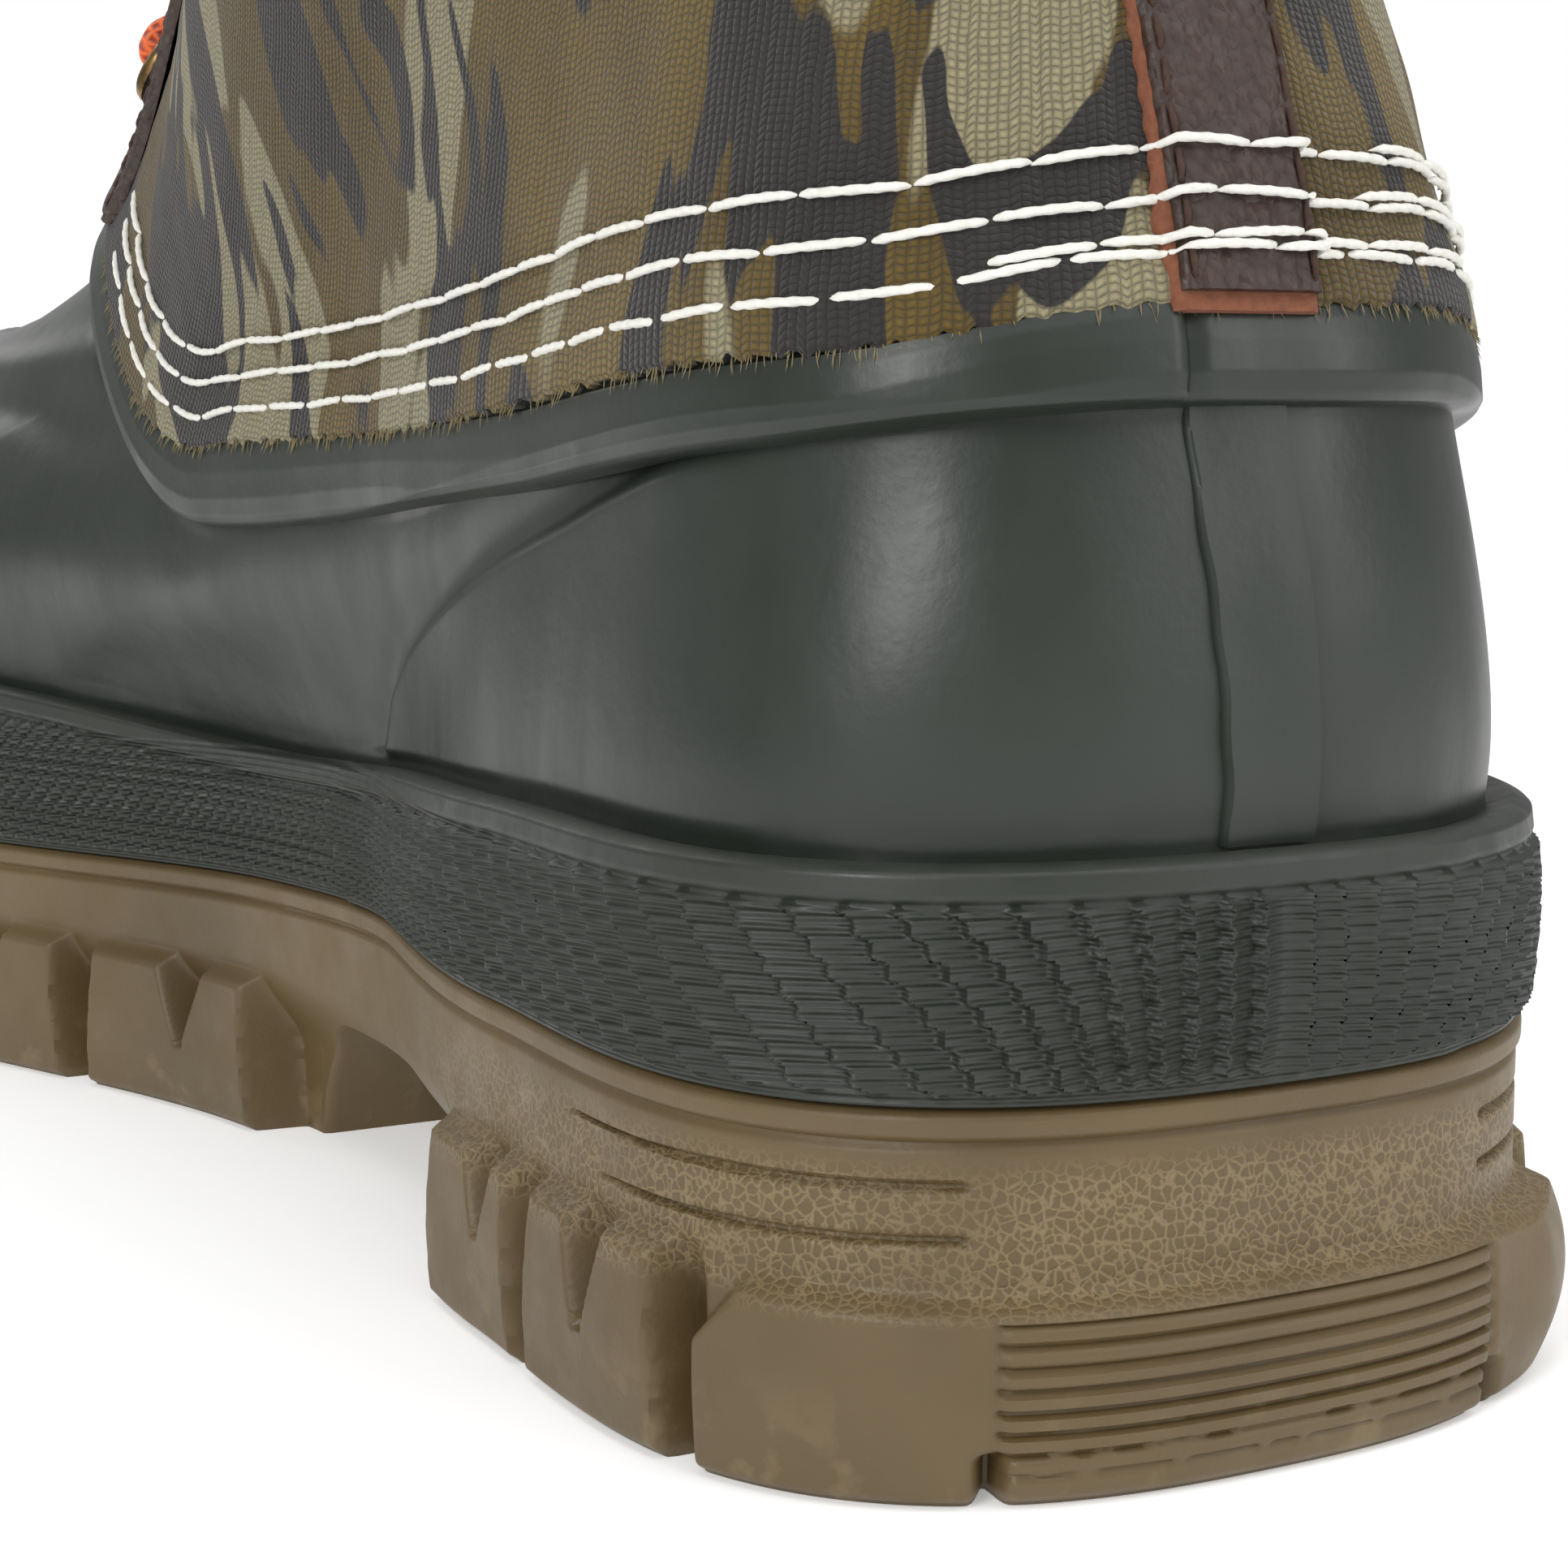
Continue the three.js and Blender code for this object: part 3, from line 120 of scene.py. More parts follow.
def outline(u, shape):
    """Points x, y round the boot; u is 0 at the back, 0.25 on the inner side and 0.5 at the toe."""
    u = np.asarray(u, float)
    turn = u - np.floor(u)
    side = np.where(turn <= 0.5, 1.0, -1.0)
    t = np.where(turn <= 0.5, 2 * turn, 2 * (1 - turn))
    toe_share = shape["toe_share"]
    heel = np.clip(t / HEEL_SHARE, 0, 1) * math.pi / 2
    toe = np.clip((1 - t) / toe_share, 0, 1) * math.pi / 2
    along = np.clip((t - HEEL_SHARE) / (1 - HEEL_SHARE - toe_share), 0, 1)
    s = mix(shape["heel_end"], shape["toe_start"], along)
    s = np.where(t < HEEL_SHARE, mix(shape["heel_end"], shape["back"], np.abs(np.cos(heel)) ** HEEL_POWER), s)
    toe_s = mix(shape["toe_start"], shape["front"], np.abs(np.cos(toe)) ** TOE_POWER)
    s = np.where(t >= 1 - toe_share, toe_s, s)
    width = np.where(side > 0, shape["inner"](s), shape["outer"](s))
    rounding = np.where(t < HEEL_SHARE, np.sin(heel) ** HEEL_POWER, 1.0)
    rounding = np.where(t >= 1 - toe_share, np.sin(toe) ** TOE_POWER, rounding)
    return np.stack([centre_at(s) + side * width * rounding, -s], -1)


STEP = 0.002


def plan_at(u, outwards=0.0):
    """The plan outline moved outwards, as points x, y."""
    tangent = outline(u + STEP, FOOT) - outline(u - STEP, FOOT)
    tangent /= np.linalg.norm(tangent, axis=-1, keepdims=True)
    normal = np.stack([-tangent[..., 1], tangent[..., 0]], -1)
    return outline(u, FOOT) + normal * np.asarray(outwards)[..., None]


def waist_weight(s):
    return bell(s - WAIST_S, 45)


def fore_weight(s):
    return smooth((s - 70) / 110)


def spring_at(s):
    return 8 * smooth((s - 215) / (BOOT_LENGTH - 215))


def sole_top(s):
    return mix(27, 24.5, fore_weight(s)) + spring_at(s)


def foxing_top(s):
    return mix(mix(43.3, 43.7, fore_weight(s)), 39, waist_weight(s)) + spring_at(s)


# ---- Surface of the upper ----

rim_height = through((RIM_BACK_S, 73), (25, 72.5), (126, 61), (RIM_FRONT_S, 93))


def xyz(xy, z):
    return np.concatenate([xy, np.broadcast_to(z, xy.shape[:-1])[..., None]], -1)


def ring(u, back_s, front_s, half, back_z, front_z):
    angle = 2 * math.pi * u
    forward = (1 - np.cos(angle)) / 2
    side = 4 + half * np.sin(angle)
    return np.stack([side, -mix(back_s, front_s, forward), mix(back_z, front_z, forward)], -1)


def feather_curve(u):
    xy = plan_at(u, -FOXING_WALL - GAP)
    return xyz(xy, foxing_top(-xy[..., 1]))


def rim_curve(u):
    xy = outline(u, RIM)
    return xyz(xy, rim_height(-xy[..., 1]))


def ankle_curve(u):
    return ring(u, 22, 140, 39, 140, 140)


def collar_curve(u):
    return ring(u, 12, 124, 43, 212, 222)


def along_of(u):
    turn = u - np.floor(u)
    return np.where(turn <= 0.5, 2 * turn, 2 * (1 - turn))


def lean_direction(u, back, front):
    """Unit vectors up the surface, leaning inwards by degrees that differ at back and front."""
    frontness = smooth((along_of(u) - 0.45) / 0.5)
    lean = np.radians(mix(back, front, frontness))
    outwards = outline(u, FOOT) - np.array([float(centre_at(150)), -130])
    outwards /= np.linalg.norm(outwards, axis=-1, keepdims=True)
    return xyz(-outwards * np.sin(lean)[..., None], np.cos(lean))


CURVES = (feather_curve, rim_curve, ankle_curve, collar_curve)
LEANS = ((-10, -6), (10, 64), (1, 26), (0, 0))


def upper_at(u, v):
    """The upper: v is 0 at the top of the foxing, 1 at the rim, 2 at the ankle and 3 at the collar."""
    u, v = np.broadcast_arrays(np.asarray(u, float), np.asarray(v, float))
    curves = [curve(u) for curve in CURVES]
    leans = [lean_direction(u, *lean) for lean in LEANS]
    result = np.zeros(u.shape + (3,))
    for i in range(3):
        t = np.clip(v - i, 0, 1)[..., None]
        chord = np.linalg.norm(curves[i + 1] - curves[i], axis=-1, keepdims=True)
        bend = t * (1 - t) ** 2 * leans[i] + t * t * (t - 1) * leans[i + 1]
        piece = mix(curves[i], curves[i + 1], t * t * (3 - 2 * t)) + chord * bend
        inside = (v >= i) & ((v < i + 1) | (i == 2))
        result = np.where(inside[..., None], piece, result)
    below = curves[0].copy()
    below[..., 2] = mix(below[..., 2], sole_top(-below[..., 1]) + GAP, np.maximum(-v, 0))
    result = np.where((v < 0)[..., None], below, result)
    result[..., 2] += np.maximum(v - 3, 0) * 82
    return result


def layer_at(u, v, depth):
    """A point of the upper at a depth below its surface; a negative depth lies outside it."""
    u, v, depth = np.broadcast_arrays(np.asarray(u, float), np.asarray(v, float), np.asarray(depth, float))
    base = np.where(v < 0, -0.5, np.maximum(v, 0.01))
    across = upper_at(u + STEP, base) - upper_at(u - STEP, base)
    up = upper_at(u, base + 0.01) - upper_at(u, base - 0.01)
    up = np.where((v < 0)[..., None], np.array([0, 0, 1.0]), up)
    normal = np.cross(across, up)
    normal /= np.linalg.norm(normal, axis=-1, keepdims=True)
    return upper_at(u, v) + normal * depth[..., None]


arc_tables = {}


def arc_u(v, arc, side):
    """The place round the surface at a distance from the middle of the throat, for one height v."""
    key = (round(float(v), 5), side)
    if key not in arc_tables:
        u = 0.5 - side * 0.5 * np.linspace(0, 1, 161)
        points = upper_at(u, v)
        lengths = np.concatenate([[0], np.cumsum(np.linalg.norm(np.diff(points, axis=0), axis=1))])
        arc_tables[key] = (lengths, u)
    return np.interp(arc, *arc_tables[key])

# Where the pack sets the origin of the boot's own frame, in millimetres.
SHIFT = np.array([-9.000137, 149.564491, 0.0])


# ---- Meshes ----

def running(points, axis=0):
    """Distances along lines of points, from 0 at the start."""
    steps = np.linalg.norm(np.diff(points, axis=axis), axis=-1)
    start = np.zeros_like(np.take(steps, [0], axis))
    return np.concatenate([start, np.cumsum(steps, axis=axis)], axis=axis)


def quads(columns, rows, closed):
    """Corner indices of the faces of a grid of columns by rows of points, facing outwards."""
    i = np.arange(columns if closed else columns - 1)[:, None]
    j = np.arange(rows - 1)[None]
    after = (i + 1) % columns
    faces = np.stack([i * rows + j, i * rows + j + 1, after * rows + j + 1, after * rows + j], -1)
    corners = np.stack([np.stack(np.broadcast_arrays(*pair), -1) for pair in
                        ((i, j), (i, j + 1), (i + 1, j + 1), (i + 1, j))], -2)
    return faces.reshape(-1, 4), corners.reshape(-1, 4, 2)


def surface_sizes(points, closed):
    """Distances in metres along and up a grid, to lay a cloth or a rubber pattern on it."""
    if closed:
        points = np.concatenate([points, points[:1]])
    along = np.linalg.norm(np.diff(points, axis=0), axis=-1).mean(1)
    u = np.concatenate([[0], np.cumsum(along)])
    v = running(points, 1)
    return np.stack([np.broadcast_to(u[:, None], v.shape), v], -1) * MM


def build(name, points, faces, uvs, material, angle=40):
    """An object from points in millimetres, faces of four corners and one UV place for each corner."""
    mesh = bpy.data.meshes.new(name)
    mesh.vertices.add(len(points))
    mesh.vertices.foreach_set("co", ((points + SHIFT) * MM).astype(np.float32).ravel())
    mesh.loops.add(faces.size)
    mesh.loops.foreach_set("vertex_index", faces.astype(np.int32).ravel())
    mesh.polygons.add(len(faces))
    mesh.polygons.foreach_set("loop_start", np.arange(0, faces.size, 4, dtype=np.int32))
    mesh.uv_layers.new(name="UVMap")
    mesh.uv_layers[0].data.foreach_set("uv", uvs.astype(np.float32).ravel())
    mesh.update(calc_edges=True)
    mesh.validate()
    mesh.shade_smooth()
    mesh.set_sharp_from_angle(angle=math.radians(angle))
    mesh.materials.append(material)
    piece = bpy.data.objects.new(name, mesh)
    bpy.context.scene.collection.objects.link(piece)
    return piece


def ring_of(name, grid, sizes, material, angle):
    """An object from one closed grid that runs all round the boot."""
    faces, corners = quads(*grid.shape[:2], True)
    return build(name, grid.reshape(-1, 3), faces, sizes[corners[..., 0], corners[..., 1]], material, angle)


def slab(name, outer, inner, material, closed=False, angle=40, turned=False):
    """A closed sheet between two grids of the same size; turned is for a grid that runs the other way."""
    n, m = outer.shape[:2]
    sizes = surface_sizes(outer, closed)
    faces, corners = quads(n, m, closed)
    count = n * m
    all_faces = [faces, faces[:, ::-1] + count]
    all_uvs = [sizes[corners[..., 0], corners[..., 1]], sizes[corners[:, ::-1, 0], corners[:, ::-1, 1]]]

    def close(i, j, next_i, next_j, size_i, backwards):
        edge = np.stack([i * m + j, next_i * m + next_j, next_i * m + next_j + count, i * m + j + count], -1)
        uv = np.stack([sizes[i, j], sizes[size_i, next_j], sizes[size_i, next_j], sizes[i, j]], 1)
        all_faces.append(edge[:, ::-1] if backwards else edge)
        all_uvs.append(uv[:, ::-1] if backwards else uv)

    i = np.arange(n if closed else n - 1)
    for j, backwards in ((0, False), (m - 1, True)):
        close(i, j, (i + 1) % n, j, i + 1, backwards)
    if not closed:
        j = np.arange(m - 1)
        for i, backwards in ((0, True), (n - 1, False)):
            close(i, j, i, j + 1, i, backwards)
    points = np.concatenate([outer.reshape(-1, 3), inner.reshape(-1, 3)])
    piece = build(name, points, np.concatenate(all_faces), np.concatenate(all_uvs), material, angle)
    if turned:
        piece.data.flip_normals()
    return piece


def sheet(name, u, v, outward, inward, material, **shape):
    """A closed sheet between two depths below the upper's surface."""
    return slab(name, layer_at(u, v, outward), layer_at(u, v, inward), material, **shape)


def tube(points, radius, sides=10, lobes=0, twist=0.0, lobe_depth=0.2):
    """Points, faces and UV places of a thread or cord along a line; lobes are its twisted plies."""
    along = np.gradient(points, axis=0)
    along /= np.linalg.norm(along, axis=1, keepdims=True) + 1e-9
    normal = np.cross(along, np.array([0.31, 0.2, 0.93]))
    normal /= np.linalg.norm(normal, axis=1, keepdims=True) + 1e-9
    side = np.cross(along, normal)
    lengths = running(points)
    angle = np.linspace(0, 2 * math.pi, sides, endpoint=False)[None]
    strands = np.abs(np.cos(lobes * (angle - twist * lengths[:, None]) / 2))
    size = radius * (1 + lobe_depth * strands - lobe_depth)
    order = np.arange(len(points))
    taper = np.clip(np.minimum(order, order[::-1]) / 1.5, 0.05, 1)[:, None]
    size = (size if lobes else radius + 0 * angle * lengths[:, None]) * taper
    grid = points[:, None] + (normal[:, None] * np.cos(angle)[..., None]
                              + side[:, None] * np.sin(angle)[..., None]) * size[..., None]
    i = np.arange(len(points) - 1)[:, None]
    k = np.arange(sides)[None]
    next_k = (k + 1) % sides
    faces = np.stack([i * sides + k, i * sides + next_k, (i + 1) * sides + next_k, (i + 1) * sides + k], -1)
    start, end, low = lengths[i] + 0 * k, lengths[i + 1] + 0 * k, k / sides + 0 * i
    high = low + 1 / sides
    corners = ((start, low), (start, high), (end, high), (end, low))
    uvs = np.stack([np.stack(pair, -1) for pair in corners], -2)
    return grid.reshape(-1, 3), faces.reshape(-1, 4), uvs.reshape(-1, 4, 2) * MM


def joined(name, parts, material, angle=60):
    """One object from several lots of points, faces and UV places."""
    points, faces, uvs = zip(*parts)
    starts = np.cumsum([0] + [len(lot) for lot in points[:-1]])
    faces = [lot + start for lot, start in zip(faces, starts)]
    return build(name, np.concatenate(points), np.concatenate(faces), np.concatenate(uvs), material, angle)


def place(piece, slot, *nodes, body="boot"):
    """Ties a piece to its body and hides the CAD nodes it stands for; the slot is not used."""
    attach(piece, body)
    if nodes:
        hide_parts(*nodes)


def ripple(points, sizes, seed=0.0):
    """A gentle unevenness from -1 to 1: a sum of waves of a few sizes in millimetres."""
    value = np.zeros(points.shape[:-1])
    for k, size in enumerate(sizes):
        turn = seed + 1.7 * k
        direction = np.array([math.cos(turn), math.sin(turn), 0.8 * math.sin(2.3 * turn)])
        across = np.array([-math.sin(turn * 1.3), math.cos(turn * 0.7), 0.6])
        wave = np.sin(points @ direction * 2 * math.pi / size + seed)
        value += wave * np.sin(points @ across * 4.1 / size + k)
    return value / len(sizes)


# ---- Materials ----

class Finish:
    """A procedural material put together from a few kinds of node."""

    def __init__(self, name, roughness, **sockets):
        self.material = bpy.data.materials.new(name)
        self.material.use_nodes = True
        self.tree = self.material.node_tree
        self.shader = self.tree.nodes["Principled BSDF"]
        self.shader.inputs["Roughness"].default_value = roughness
        for socket, value in sockets.items():
            self.shader.inputs[socket.replace("_", " ")].default_value = value
        coordinates = self.tree.nodes.new("ShaderNodeTexCoord")
        self.space = coordinates.outputs["Object"]
        self.uv = coordinates.outputs["UV"]
        self.normal = None

    def put(self, socket, value):
        if isinstance(value, bpy.types.NodeSocket):
            self.tree.links.new(value, socket)
        elif isinstance(value, (tuple, list)) and len(value) == 3 and socket.type == "RGBA":
            socket.default_value = (*value, 1)
        else:
            socket.default_value = value

    def node(self, kind, inputs, output=0, **settings):
        node = self.tree.nodes.new("ShaderNode" + kind)
        for name, value in settings.items():
            setattr(node, name, value)
        for key, value in inputs.items():
            self.put(node.inputs[key], value)
        return node.outputs[output]

    def scaled(self, place, x, y, z):
        return self.node("Mapping", {"Vector": place, "Scale": (x, y, z)})

    def vector(self, operation, a, b):
        return self.node("VectorMath", {0: a, 1: b}, operation=operation)

    def shaken(self, noise, amount):
        """The place moved by a noise, by an amount in millimetres."""
        return self.vector("ADD", self.space, self.vector("MULTIPLY", noise, (amount * MM,) * 3))

    def noise(self, size, detail=3, place=None, distortion=0.0, rough=0.55):
        """Noise from 0 to 1 whose features are about size millimetres across."""
        return self.node("TexNoise", {"Vector": place or self.space, "Scale": 1000 / size, "Detail": detail,
                                      "Roughness": rough, "Distortion": distortion})

    def cells(self, size, feature="F1", place=None):
        return self.node("TexVoronoi", {"Vector": place or self.space, "Scale": 1000 / size}, feature=feature)

    def math(self, operation, a, b=0.0, c=0.0):
        return self.node("Math", {0: a, 1: b, 2: c}, operation=operation)

    def times(self, a, b):
        return self.math("MULTIPLY", a, b)

    def wave(self, place, name, length):
        """Rises and falls along one axis of a place, every length in millimetres."""
        return self.math("SINE", self.times(self.axis(place, name), 2 * math.pi / (length * MM)))

    def range(self, value, a, b, c=0.0, d=1.0):
        return self.node("MapRange", {"Value": value, 1: a, 2: b, 3: c, 4: d}, clamp=True)

    def mix(self, amount, a, b):
        """Colour a where amount is 0 and colour b where it is 1."""
        node = self.tree.nodes.new("ShaderNodeMix")
        node.data_type = "RGBA"
        for place, value in ((0, amount), (6, a), (7, b)):
            self.put(node.inputs[place], value)
        return node.outputs[2]

    def axis(self, place, name):
        return self.node("SeparateXYZ", {0: place}, "XYZ".index(name))

    def bump(self, height, distance):
        """Adds relief of a depth in millimetres."""
        inputs = {"Height": height, "Distance": distance * MM, "Strength": 1.0}
        if self.normal:
            inputs["Normal"] = self.normal
        self.normal = self.node("Bump", inputs)
        self.put(self.shader.inputs["Normal"], self.normal)

    def colour(self, value):
        self.put(self.shader.inputs["Base Color"], value)

    def tones(self, amount, dark, light):
        self.colour(self.mix(amount, paint(*dark), paint(*light)))

    def rough(self, value):
        self.put(self.shader.inputs["Roughness"], value)

    def mottled(self, size, detail, low, high):
        """Roughness that changes from place to place."""
        self.rough(self.range(self.noise(size, detail), 0.3, 0.7, low, high))


def paint(red, green, blue):
    """A colour given as it is seen, from 0 to 255, turned into light."""
    return tuple((value / 255) ** 2.2 for value in (red, green, blue))


def green_rubber():
    m = Finish("green_rubber", 0.4)
    cloud = m.noise(38, 4)
    m.tones(m.range(cloud, 0.3, 0.7), (34, 40, 34), (46, 51, 45))
    smear = m.noise(7, 5, m.scaled(m.space, 1, 1, 0.18))
    m.rough(m.range(m.math("ADD", smear, m.times(cloud, 0.5)), 0.45, 1.05, 0.3, 0.5))
    m.bump(m.noise(1.1, 3), 0.03)
    m.bump(m.noise(26, 3), 0.5)
    return m.material


def foxing_rubber():
    m = Finish("foxing_rubber", 0.46)
    m.tones(m.noise(30, 4), (37, 42, 36), (49, 53, 46))
    m.mottled(3, 4, 0.38, 0.56)
    below_strip = m.math("LESS_THAN", m.axis(m.uv, "Y"), 13.2 * MM)
    m.bump(m.times(m.wave(m.uv, "Y", 0.62), below_strip), 0.08)
    m.bump(m.noise(0.8, 3), 0.03)
    return m.material


def gum_rubber():
    """Tan rubber, worn pale near the ground, with a band of fine crackle round the heel."""
    m = Finish("gum_rubber", 0.5)
    base = m.mix(m.range(m.noise(45, 4), 0.3, 0.7), paint(86, 71, 46), paint(105, 88, 58))
    height = m.axis(m.space, "Z")
    worn = m.times(m.range(m.noise(5, 5), 0.56, 0.64), m.range(height, 9 * MM, 3 * MM))
    base = m.mix(m.times(worn, 0.3), base, paint(134, 116, 86))
    grain = m.cells(0.85, "DISTANCE_TO_EDGE", m.shaken(m.noise(1.3, 3), 1.1))
    band = m.times(m.range(height, 12.5 * MM, 14 * MM), m.range(height, 23.5 * MM, 21.5 * MM))
    near_heel = m.range(m.axis(m.space, "Y"), 70 * MM, 105 * MM)
    patch = m.times(m.times(band, near_heel), m.range(m.noise(22, 3), 0.22, 0.45))
    pale = m.times(m.range(grain, 0.14, 0.03), patch)
    m.colour(m.mix(m.times(pale, 0.5), base, paint(146, 128, 94)))
    m.bump(m.times(m.range(grain, 0.0, 0.3), patch), 0.06)
    m.bump(m.noise(0.45, 3), 0.035)
    m.mottled(6, 4, 0.42, 0.6)
    return m.material


def weave(m, pitch):
    """Height of a plain weave of yarns a pitch apart, laid on the UV distances."""
    wander = m.node("TexNoise", {"Vector": m.space, "Scale": 260, "Detail": 2}, 1)
    cloth = m.vector("ADD", m.uv, m.vector("MULTIPLY", wander, (0.0004, 0.0004, 0)))
    warp, weft = [m.math("ABSOLUTE", m.wave(cloth, name, 2 * pitch)) for name in "XY"]
    return m.math("POWER", m.times(warp, weft), 0.6)


def camo_canvas():
    """Upright streaks of tan and bark on two olives, on a plain weave."""
    m = Finish("camo_canvas", 0.92, Sheen_Weight=0.15)
    threads = weave(m, 0.6)
    olives = m.noise(26, 2, m.scaled(m.space, 1, 1, 0.42))
    cloth = m.mix(m.range(olives, 0.42, 0.6), paint(82, 66, 25), paint(104, 86, 36))
    tan = m.noise(36, 2.2, m.scaled(m.space, 1, 1, 0.34), 1.6)
    cloth = m.mix(m.range(tan, 0.52, 0.53), cloth, paint(136, 128, 99))
    elsewhere = m.vector("ADD", m.space, (0.31, 0.17, 0.09))
    bark = m.noise(27, 1.8, m.scaled(elsewhere, 1.05, 1.05, 0.36), 2.2)
    cloth = m.mix(m.range(bark, 0.525, 0.535), cloth, paint(43, 40, 38))
    fibre = m.range(m.noise(0.5, 3), 0.3, 0.7, 0.86, 1.14)
    # Painted shade: the cloth is darker where the weave is low, between the yarns, and a little lighter on
    # the yarns' crowns as a painted highlight.
    tone = m.times(m.range(threads, 0.0, 1.0, 0.55, 1.1), fibre)
    m.colour(m.node("VectorMath", {0: cloth, "Scale": tone}, operation="SCALE"))
    m.bump(threads, 0.17)
    m.bump(m.noise(0.35, 3), 0.08)
    return m.material


def brown_leather():
    m = Finish("brown_leather", 0.5)
    pebble = m.cells(1.3, "F1", m.shaken(m.noise(2.2, 2), 1.2))
    tone = m.mix(m.noise(13, 4), paint(38, 25, 20), paint(60, 43, 36))
    # The pebbles' raised tops are painted lighter than the hollows between them, as a painted highlight.
    m.colour(m.mix(m.range(pebble, 0.75, 0.25, 0.0, 0.3), tone, paint(80, 60, 50)))
    m.bump(m.range(pebble, 0.9, 0.1), 0.26)
    m.bump(m.noise(5, 5), 0.6)
    m.mottled(4, 3, 0.4, 0.58)
    return m.material


def thread(name, dark, light):
    m = Finish(name, 0.8)
    m.tones(m.noise(0.6, 3), dark, light)
    m.bump(m.noise(0.18, 2), 0.06)
    return m.material


def nap(name, dark, light, size, depth, fine=0, fine_depth=0, curl=0.0, roughness=0.95, **sockets):
    """A soft finish: one noise colours and raises it, and a finer one, where given, roughens it."""
    m = Finish(name, roughness, **sockets)
    tuft = m.noise(size, 4, None, curl)
    m.tones(tuft, dark, light)
    m.bump(tuft, depth)
    if fine:
        m.bump(m.noise(fine, 3), fine_depth)
    return m.material


def fabric(name, dark, light, size):
    return nap(name, dark, light, size, 0.25, size / 4, 0.1, roughness=0.92)


def webbing():
    m = Finish("webbing", 0.85)
    threads = weave(m, 1.1)
    # Painted shade: the webbing is dark where the weave is low, between the yarns, and light on their crowns.
    m.tones(threads, (30, 24, 20), (76, 62, 50))
    m.bump(threads, 0.3)
    return m.material


def brass():
    m = Finish("antique_brass", 0.36, Metallic=1.0)
    tarnish = m.noise(3, 5)
    m.tones(m.range(tarnish, 0.35, 0.7), (150, 122, 78), (74, 58, 40))
    m.rough(m.range(tarnish, 0.3, 0.7, 0.28, 0.55))
    m.bump(m.noise(0.6, 3), 0.02)
    return m.material


def lace_cord():
    """A round braid: two sets of strands that wind opposite ways."""
    m = Finish("orange_lace", 0.8, Sheen_Weight=0.2)
    turns = m.times(m.axis(m.uv, "X"), 2 * math.pi / (2.2 * MM))
    around = m.times(m.axis(m.uv, "Y"), 2 * math.pi * 6 / MM)
    left = m.math("SINE", m.math("ADD", turns, around))
    right = m.math("SINE", m.math("SUBTRACT", around, turns))
    braid = m.math("MAXIMUM", left, right)
    # Painted shade: the cord is dark orange in the grooves between the strands and light on their crowns.
    m.tones(m.range(braid, -0.6, 1.0), (150, 46, 10), (232, 104, 44))
    m.bump(braid, 0.16)
    m.bump(m.noise(0.3, 3), 0.05)
    return m.material


def plastic():
    m = Finish("clear_plastic", 0.22)
    m.tones(m.noise(4, 2), (188, 104, 48), (206, 128, 66))
    m.bump(m.noise(2, 3), 0.03)
    return m.material


# ---- Places round the foot ----

turns = np.linspace(-0.5, 0.5, 8001)
outline_points = plan_at(turns)
outline_lengths = running(outline_points)
outline_lengths -= np.interp(0, turns, outline_lengths)


def girth_at(u):
    """Distance in millimetres round the plan from the middle of the heel, positive on the inner side."""
    return np.interp(u, turns, outline_lengths)


def girth_of(s):
    """The distance round the plan, on the inner side, to a distance s forward."""
    inner = turns >= 0
    return np.interp(s, -outline_points[inner, 1], outline_lengths[inner])


def even_turns(count):
    """Places all round the boot, evenly spaced along its plan, as the columns of a grid."""
    lengths = np.linspace(outline_lengths[0], outline_lengths[-1], count, endpoint=False)
    return np.interp(lengths, outline_lengths, turns)[:, None]


def inside(x, y, corners, soft):
    """1 inside a convex outline of corners, given anticlockwise, and 0 outside, over a soft edge."""
    reach = np.full(np.broadcast(x, y).shape, 1e6)
    for (x0, y0), (x1, y1) in zip(corners, corners[1:] + corners[:1]):
        length = math.hypot(x1 - x0, y1 - y0)
        reach = np.minimum(reach, ((x1 - x0) * (y - y0) - (y1 - y0) * (x - x0)) / length)
    return smooth(reach / soft + 0.5)


# ---- Outsole ----

LUG_TOP = 15.3
RIB_TOP = 12.7
RIB_LOW = 2.2
RIB_COUNT = 7
RIB_DEPTH = 0.62
SLOT_GIRTH = 20.6
SLOT_HALF = 0.75
SOFT_EDGE = 1.7
TREAD_PITCH = 15


def notched_lug(start, end, notch, notch_z, taper):
    """Two convex outlines that make a lug with a V cut down into its top; starts and ends are s values."""
    a, b = girth_of(start), girth_of(end)
    m = girth_of(notch)
    gap = 0.12 * (b - a)
    near = [(a, -2), (m + 0.01, -2), (m + 0.01, notch_z), (m - gap, LUG_TOP), (a + taper, LUG_TOP)]
    far = [(m - 0.01, -2), (b, -2), (b - taper, LUG_TOP), (m + gap, LUG_TOP), (m - 0.01, notch_z)]
    narrow = taper * notch_z / LUG_TOP
    body = [(a, -2), (b, -2), (b - narrow, notch_z), (a + narrow, notch_z)]
    return [near, far, body]


HEEL_LUGS = notched_lug(20.2, 41.8, 30.5, 7.6, 1.5) + notched_lug(43.6, 64, 51, 9.2, 1.5)
FORE_LUGS = []
for start in (124, 157, 190, 223):
    FORE_LUGS += notched_lug(start, start + 30, start + 13.5, 7.5, 1.6)
BLOCK_END = girth_of(18)
TOE_START = girth_of(254)
TOE_CUTS = [girth_of(s) for s in (256, 270, 284, 297)]
# Two engraved lines along the heel: their heights and how far forward they run.
ENGRAVED = ((21.6, girth_of(39)), (17.9, girth_of(37)))


def arch_height(s):
    """Height of the arch over the ground: the underside between the heel and the forefoot."""
    start, end, height = ARCH
    rise = np.clip((s - start) / 12, 0, 1)
    fall = np.clip((end - s) / 13, 0, 1)
    near = np.minimum(rise, fall)
    return height * np.sqrt(1 - (1 - near) ** 2)


